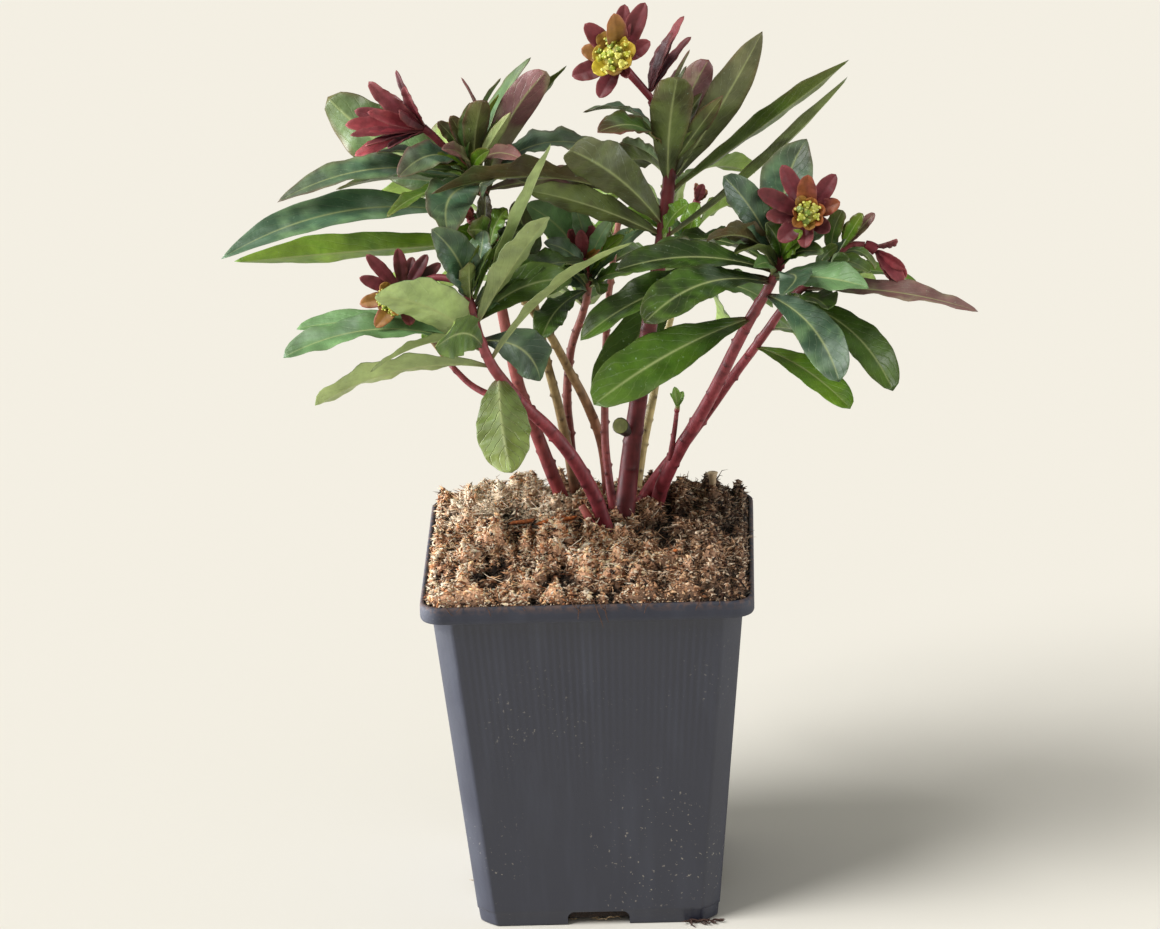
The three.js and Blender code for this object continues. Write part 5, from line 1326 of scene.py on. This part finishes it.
# Each head: the neck from the stem's tip to the heart, the neck's radius, the bracts as tip
# places with a width and a look, and on an open head the eye of florets. A side tuft is a place
# on the neck with the bracts that grow from it.
BLOOMS = {
    "top": {
        "neck": [[20.7, 225.8, -2.2], [18.3, 229, -3.5], [15, 233, -5.5], [12.6, 236, -7]],
        "radius": 0.9,
        "bracts": [[3.6, 246.9, -8, 6.5, "maroon"], [11.5, 249.6, -12, 7, "ochre"],
                   [14.5, 252, -6, 6, "maroon"], [20, 252.3, -7, 6.5, "maroon"],
                   [21, 241.5, -9, 5.5, "maroon"], [-0.3, 232.5, -9, 6.5, "maroon"],
                   [6.8, 226.2, -13, 6, "maroon"], [14.5, 231.5, -15, 4, "maroon"],
                   [2.5, 240, -6, 6, "ochre"]],
        "eye": {"place": [11, 238, -11.5], "radius": 5.0, "cup": paint(190, 170, 48), "green": 0.1},
        "side": [[20.2, 226.8, -2.6], [[30.3, 248.3, -2, 4.5, "maroon"],
                 [27.2, 243.8, -6, 4.5, "deep"], [32, 242.5, 3, 4, "deep"],
                 [24.5, 241, 1, 4, "deep"]]]},
    "right": {
        "neck": [[57.3, 184.7, -21.1], [59, 187.6, -21.5], [61, 190.3, -22.5], [61.7, 191.6, -23]],
        "radius": 0.9,
        "bracts": [[55.3, 206.2, -20, 6, "maroon"], [48.5, 199.2, -25, 6, "maroon"],
                   [62.3, 203.3, -27, 6.5, "rust"], [69.8, 203.2, -23, 6, "maroon"],
                   [70.8, 195.4, -25, 5.5, "rust"], [67.7, 187, -27, 5.5, "maroon"],
                   [54, 184.6, -28, 6.5, "maroon"], [61, 182.6, -29, 5.5, "maroon"],
                   [50.6, 192, -24, 5.5, "maroon"]],
        "eye": {"place": [62, 192.3, -27], "radius": 3.7, "cup": RUST, "green": 0.8}},
    "front_left": {
        "neck": [[-31.7, 173.6, -28], [-34, 176, -27], [-39, 177, -25], [-44, 175, -24],
                 [-48, 172.5, -24]],
        "radius": 0.8,
        "bracts": [[-57.6, 184, -23, 4.5, "maroon"], [-49, 185.6, -21, 4.6, "maroon"],
                   [-41, 183.6, -20, 4.2, "deep"], [-59.8, 177.5, -26, 4.5, "maroon"],
                   [-45, 183, -18, 4, "deep"], [-37.5, 181, -18, 4, "deep"],
                   [-56, 163.2, -30, 5.5, "ochre"], [-46.5, 163.5, -28, 5, "maroon"],
                   [-60, 170, -24, 5, "ochre"]],
        "eye": {"place": [-51.8, 170.6, -27.5], "radius": 3.6, "cup": OCHRE, "green": 0.3}},
    "upper_left": {
        "neck": [[-33, 211.2, 4], [-35.5, 214, 3.5], [-38, 216.8, 3], [-40, 218.6, 2.5]],
        "radius": 0.8,
        "bracts": [[-54.8, 232.5, 3, 6.5, "maroon"], [-47.3, 235.5, 6, 3.5, "deep"],
                   [-45.2, 231, 1, 6.5, "maroon"], [-61.7, 220.5, -1, 6.5, "red"],
                   [-59, 224.5, 4, 5.5, "maroon"], [-59.5, 211.8, 0, 6, "red"],
                   [-50.5, 213.6, -4, 5.5, "deep"], [-50, 229, 9, 5, "deep"],
                   [-60.5, 217.5, -4, 4.5, "maroon"], [-56.5, 214.5, -6, 4, "deep"],
                   [-55.5, 224, -6, 4.5, "red"], [-47, 224, -6, 4.5, "deep"]]},
    "far_right": {
        "neck": [[77.9, 183.1, -10], [78.4, 182.9, -10], [78.9, 182.6, -10], [79.4, 182.2, -10]],
        "radius": 1.1,
        "bracts": [[87.2, 171.8, -15, 5.5, "maroon"], [85.6, 171.2, -14, 5, "deep"],
                   [88.2, 173.6, -12, 5, "red"], [86, 184.4, -11, 5.5, "maroon"],
                   [84.4, 172.8, -14, 4.5, "deep"], [88, 176, -14, 4, "red"]]},
    "mid_left": {
        "neck": [[-18.9, 181.2, 5.5], [-19.4, 182.4, 5], [-19.9, 183.6, 4.5]],
        "radius": 0.9,
        "bracts": [[-19.6, 190, 3, 4, "red"], [-22.8, 189.4, 2, 4, "red"],
                   [-21.2, 189.2, 5, 3.5, "maroon"]]},
    "mid": {
        "neck": [[1.9, 178.7, 13.6], [1.5, 180, 12.8], [1, 181.2, 12]],
        "radius": 0.9,
        "bracts": [[-2.5, 189.7, 11, 5, "maroon"], [4.2, 190.6, 11, 5, "maroon"],
                   [-4, 179.5, 6, 4.5, "ochre"], [6.4, 184.5, 8, 4.5, "ochre"],
                   [0.6, 189.5, 6, 4.5, "maroon"]]},
    "inner_left": {
        "neck": [[-27.4, 190.7, -6.3], [-28, 191.7, -6.7], [-28.6, 192.6, -7]],
        "radius": 0.8,
        "bracts": [[-32.6, 196.4, -8, 3.5, "red"], [-31, 197.6, -9, 3.5, "red"],
                   [-29.4, 197, -6, 3.5, "maroon"]]},
    "back_right": {
        "neck": [[30.8, 193.7, 36], [31.3, 195, 36], [31.9, 196, 36]],
        "radius": 0.75,
        "bracts": [[34, 201.5, 35, 3.5, "maroon"], [32, 201.8, 36, 3, "ochre"],
                   [35, 199.8, 37, 3.5, "ochre"]]},
}


def bud(centre, pole, radius, height, tint_low, tint_high, seed, dimple, rows=9, around=14):
    """Small round bud on its pole: radius sin(a) about it and height cos(a) along it, with the
    crown pressed in by dimple."""
    pole = unit(pole)
    a = np.linspace(0.12, np.pi - 0.12, rows)[::-1, None]
    lobed = radius * np.sin(a) * (1 + 0.06 * np.cos(5 * circle(around)))
    along = height * (np.cos(a) - dimple * np.exp(-(np.sin(a) / 0.5) ** 2) * (np.cos(a) > 0))
    rings = (centre + spokes(pole, (0.31, 0.2, 0.93), around) * lobed[..., None]
             + pole * along[..., None])
    tint = toward(tint_low, tint_high, (0.5 + 0.5 * np.cos(a))[..., None])
    tint = tint * (1 + 0.12 * noise(rings, 0.8, seed)[..., None])
    return closed_skin(rings[0].mean(0), rings, rings[-1].mean(0), tint=np.clip(tint, 0, 1),
                       grain=np.zeros(3))


petal_look = Finish("bract_skin")
bract_material = petal_look.finish({
    "Base Color": petal_look.tinted(petal_look.cloud(650, 3, 0.82, 1.2)),
    "Specular IOR Level": 0.32, "Roughness": petal_look.cloud(300, 3, 0.42, 0.62),
    "Normal": petal_look.bump(petal_look.noise(800, 3), 0.00012, 0.6)})
floret_look = Finish("floret_skin")
floret_material = floret_look.finish({
    "Base Color": floret_look.tinted(floret_look.cloud(1400, 2, 0.84, 1.16)), "Roughness": 0.38,
    "Normal": floret_look.bump(floret_look.noise(1500, 2), 0.00008, 0.5)})


def bract(foot, tip, width, look, face, seed, facing=None):
    """Bract as a small leaf: thick, cupped, without side veins, and with a paler rim that is partly
    its own pink edge and partly painted highlight.
    """
    return blade(foot, tip, width, 0, face, *BRACT_LOOKS[look], seed, thick=0.3, rib=0.3,
                 wavy=0.7, veins=0.0, cup=0.34, shape="petal", facing=facing, steps=(24, 22),
                 streak=0.0, patch=BRACT_PATCH[look], patch_spread=(0.05, 0.7), red=BRACT_RIM_AND_HIGHLIGHT_SHARE,
                 edge=BRACT_RIM_AND_HIGHLIGHT)


def inward(heart, tip, core):
    """The way the inner face of a bract looks on a closed head: from the bract to the head's
    middle line, and a little towards EYE, square to the bract."""
    along, front = unit(tip - heart), unit(EYE - heart)
    inner = core - along * (core @ along)
    return unit(inner + 0.35 * (front - along * (front @ along)))


def ruff(order, centre, facing, side, rise, size, cup_colour):
    """Inner ruff of an open head: short broad ochre cups round the florets."""
    skins = []
    for number in range(CUPS):
        out = swung(side, rise, 2 * np.pi * (number + 0.3) / CUPS)
        foot = centre - facing * EYE_BACK + out * 0.45 * size
        tip = centre + facing * 0.9 + out * size * (1.3 + 0.16 * np.sin(3.7 * number))
        inner = toward(OCHRE, cup_colour, 0.5 + 0.5 * np.sin(2.1 * number + order))
        skins.append(blade(foot, tip, size * 0.95, 0, 10, inner, OCHRE_BACK,
                           CUP_SEED + 13 * order + number, thick=0.3, rib=0.2, wavy=0.6,
                           veins=0.0, cup=0.4, shape="round", steps=SMALL_STEPS, streak=0.0))
    return skins


def florets(order, centre, facing, side, rise, size, green_share):
    """The eye of an open head: a low bun, and rings of small cups on it with three glands each.
    On a greener head they are fewer and larger."""
    skins = [bud(centre - facing * 0.4, facing, 0.7 * size, EYE_BACK, BUN_BROWN, BUN_OLIVE,
                 BUN_SEED + order, dimple=0.1)]
    rng = np.random.default_rng(EYE_SEED + order)
    few = green_share > 0.5
    for ring, (count, off) in enumerate(FEW_RINGS if few else FLORET_RINGS):
        for cup in range(count):
            angle = 2 * np.pi * (cup + 0.5 * ring) / count + rng.normal() * 0.12
            out = swung(side, rise, angle)
            seat = centre + out * size * (off + 0.04 * rng.normal())
            seat = seat + facing * (1.4 - 0.9 * off + 0.3 * rng.normal())
            pole = unit(facing + 0.7 * off * out)
            green = green_share * rng.uniform(0.5, 1.2)
            tint = toward(FLORET_COLOURS[rng.integers(4)], FLORET_GREEN, green)
            tint = tint * (1.05 - 0.3 * off)
            wide = size * rng.uniform(0.16, 0.23) * (1.45 if few else 1)
            # Each floret and gland runs from a darker copy of its colour at its foot to its colour
            # at the crown: painted shade down between them.
            skins.append(bud(seat, pole, wide, 1.3, tint * 0.55, tint,
                             FLORET_SEED + cup + 9 * order + 40 * ring, dimple=0.4))
            gland_tint = toward(GLAND_COLOUR, tint, 0.7 * green)
            for gland in range(3):
                aside = swung(side, rise, 2.1 * gland + 0.6 * cup) * wide * 0.9
                skins.append(bud(seat + aside + pole * 0.75, pole + aside / size, wide * 0.42,
                                 0.28, gland_tint * 0.6, gland_tint, GLAND_SEED + gland,
                                 dimple=0.1, rows=5, around=8))
    return skins


for order, (name, bloom) in enumerate(BLOOMS.items()):
    radius, eye = bloom["radius"], bloom.get("eye")
    neck = at(bloom["neck"])
    heart = neck[-1]
    crown = heart + HEART_HEIGHT * unit(heart - neck[-2])
    seat = neck[0] - 0.6 * unit(neck[1] - neck[0])
    shares = np.linspace(0, 1, 30)
    skins = [limb(along_route(np.vstack([seat, neck, crown]), shares), radius * (1 + 0.5 * shares),
                  blend(WINE, MAROON, shares), NECK_SEED + order, sides=NECK_SIDES)]
    tips = at([row[:3] for row in bloom["bracts"]])
    core = unit(unit(tips - heart).mean(0))
    for number, (tip, (*_, width, look)) in enumerate(zip(tips, bloom["bracts"])):
        foot = heart + unit(tip - heart) * radius * (0.8 + 0.15 * (number % 3))
        skins.append(bract(foot, tip, BRACT_WIDTH * width, look, 10,
                           BRACT_SEED + 31 * order + number,
                           None if eye else inward(heart, tip, core)))
    if "side" in bloom:
        place, tuft = bloom["side"]
        for number, (*tip, width, look) in enumerate(tuft):
            foot = at(place) + unit(at(tip) - at(place)) * radius
            skins.append(bract(foot, at(tip), width, look, 60, TUFT_SEED + number))
    if eye:
        centre = at(eye["place"])
        facing = unit(centre - heart)
        side = unit(np.array([1.0, 0, 0]) - facing * facing[0])
        spot = (order, centre, facing, side, np.cross(facing, side), eye["radius"])
        skins += ruff(*spot, eye["cup"])
        dress(f"florets_{name}", mesh_of(f"florets_{name}", florets(*spot, eye["green"])),
              floret_material, "floret_yellow", f"bloom_{name}_eye")
    dress(f"bracts_{name}", mesh_of(f"bracts_{name}", skins), bract_material,
          "bract_maroon", f"bloom_{name}")

# ---- small pieces -----------------------------------------------------------------------------
# What else grows at the foot: a red bud-like stub, a dry cut stalk, the sawn end of an old
# branch, and two little sprouts on twigs.
RED_STUB = paint(164, 56, 66)
DRY_FOOT, DRY_STRAW = paint(140, 112, 84), paint(196, 172, 138)
CUT_OLIVE, CUT_DARK = paint(112, 114, 62), paint(40, 32, 26)
SPROUT_GREEN, SPROUT_BACK = paint(108, 142, 54), paint(126, 158, 78)
SMALL_SEED, SPROUT_SEED = 800, 820

# Each piece: its route, its radius and its colour at the foot and at the tip. Leaves are the
# place of their foot, their tip's across, up and deep, their width and how they are turned.
SMALL_PIECES = {
    "stub_red": {"route": [[1, 104.2, 1.2], [-0.2, 107.5, 2], [-1.8, 110.6, 3]],
                 "radius": [1.25, 1.0], "planted": True, "looks": [RED_STUB, PINK_STEM]},
    "dry_stalk": {"route": [[34, 111, 30], [34.2, 115, 30], [34.4, 119.2, 30]],
                  "radius": [0.85, 1.5], "planted": True, "flare": 5,
                  "looks": [DRY_FOOT, DRY_STRAW]},
    "stub_cut": {"route": [[11.2, 131.5, 5.5], [10.4, 132.5, 3.4], [9.7, 133.3, 1]],
                 "radius": [1.5, 2.4], "looks": [CUT_DARK, CUT_DARK], "cut": CUT_OLIVE},
    "sprout_right": {"route": [[25.2, 137.6, 3], [25.5, 139, 3]], "radius": [0.8, 0.6],
                     "looks": [WINE, SPROUT_GREEN],
                     "leaves": [[[25.3, 138, 3], 24.6, 144.2, 2, 2.4, 20],
                                [[25.4, 138.2, 3], 27, 142.8, 4, 2.2, 30],
                                [[25.3, 138, 3], 23.4, 142.4, 5, 2, 60]]},
    "sprout_left": {"route": [[-36.4, 152.7, -8.2], [-38.5, 156, -8.8], [-40.8, 159.4, -9.5]],
                    "radius": [0.8, 0.9], "looks": [WINE, OLIVE_STEM],
                    "leaves": [[[-37.2, 153.8, -8.5], -34, 158.6, -6, 4.5, 20],
                               [[-40.2, 158.6, -9.2], -43.6, 161, -9, 3.5, 30],
                               [[-40, 158.4, -9.2], -39.6, 163, -11, 3.5, 50]]},
}
SMALL_SLOTS = {"stub_red": "stem_wine", "dry_stalk": "dry_straw", "stub_cut": "bark_olive",
               "sprout_right": "leaf_green", "sprout_left": "bark_olive"}
for order, (name, small) in enumerate(SMALL_PIECES.items()):
    shares = np.linspace(0, 1, 20)
    path = at(along_route(small["route"], shares))
    if "leaves" in small:                       # set on the end of its twig
        path = np.vstack([path[0] - 0.6 * unit(path[1] - path[0]), path])
        shares = np.concatenate([[0], shares])
    if small.get("planted"):
        path = np.vstack([path[0] - np.outer((STEM_DEPTH / 2, 2), (0, 0, 1)), path])
        shares = np.concatenate([[0, 0], shares])
    radii = toward(*small["radius"], shares ** small.get("flare", 1))
    tints = blend(*small["looks"], shares)
    if "cut" in small:                          # a flat sawn face with bark round it
        end_step = 0.03 * unit(path[-1] - path[-2])
        path = np.vstack([path, path[-1] + end_step, path[-1] + 2 * end_step])
        radii = np.concatenate([radii, radii[-1] * np.array([0.84, 0.4])])
        tints = np.vstack([tints, small["cut"], small["cut"] * 0.8])
    skins = [limb(path, radii, tints, SMALL_SEED + order, sides=NECK_SIDES, uneven=0.1)]
    for number, (foot, *tip, width, face) in enumerate(small.get("leaves", [])):
        skins.append(blade(at(foot), at(tip), width, 0, face, SPROUT_GREEN, SPROUT_BACK,
                           SPROUT_SEED + number + order, thick=0.2, rib=0.2, wavy=0.5,
                           steps=SMALL_STEPS))
    dress(f"{name}_skin", mesh_of(f"{name}_skin", skins),
          leaf_material if "leaves" in small else stem_material, SMALL_SLOTS[name], name)
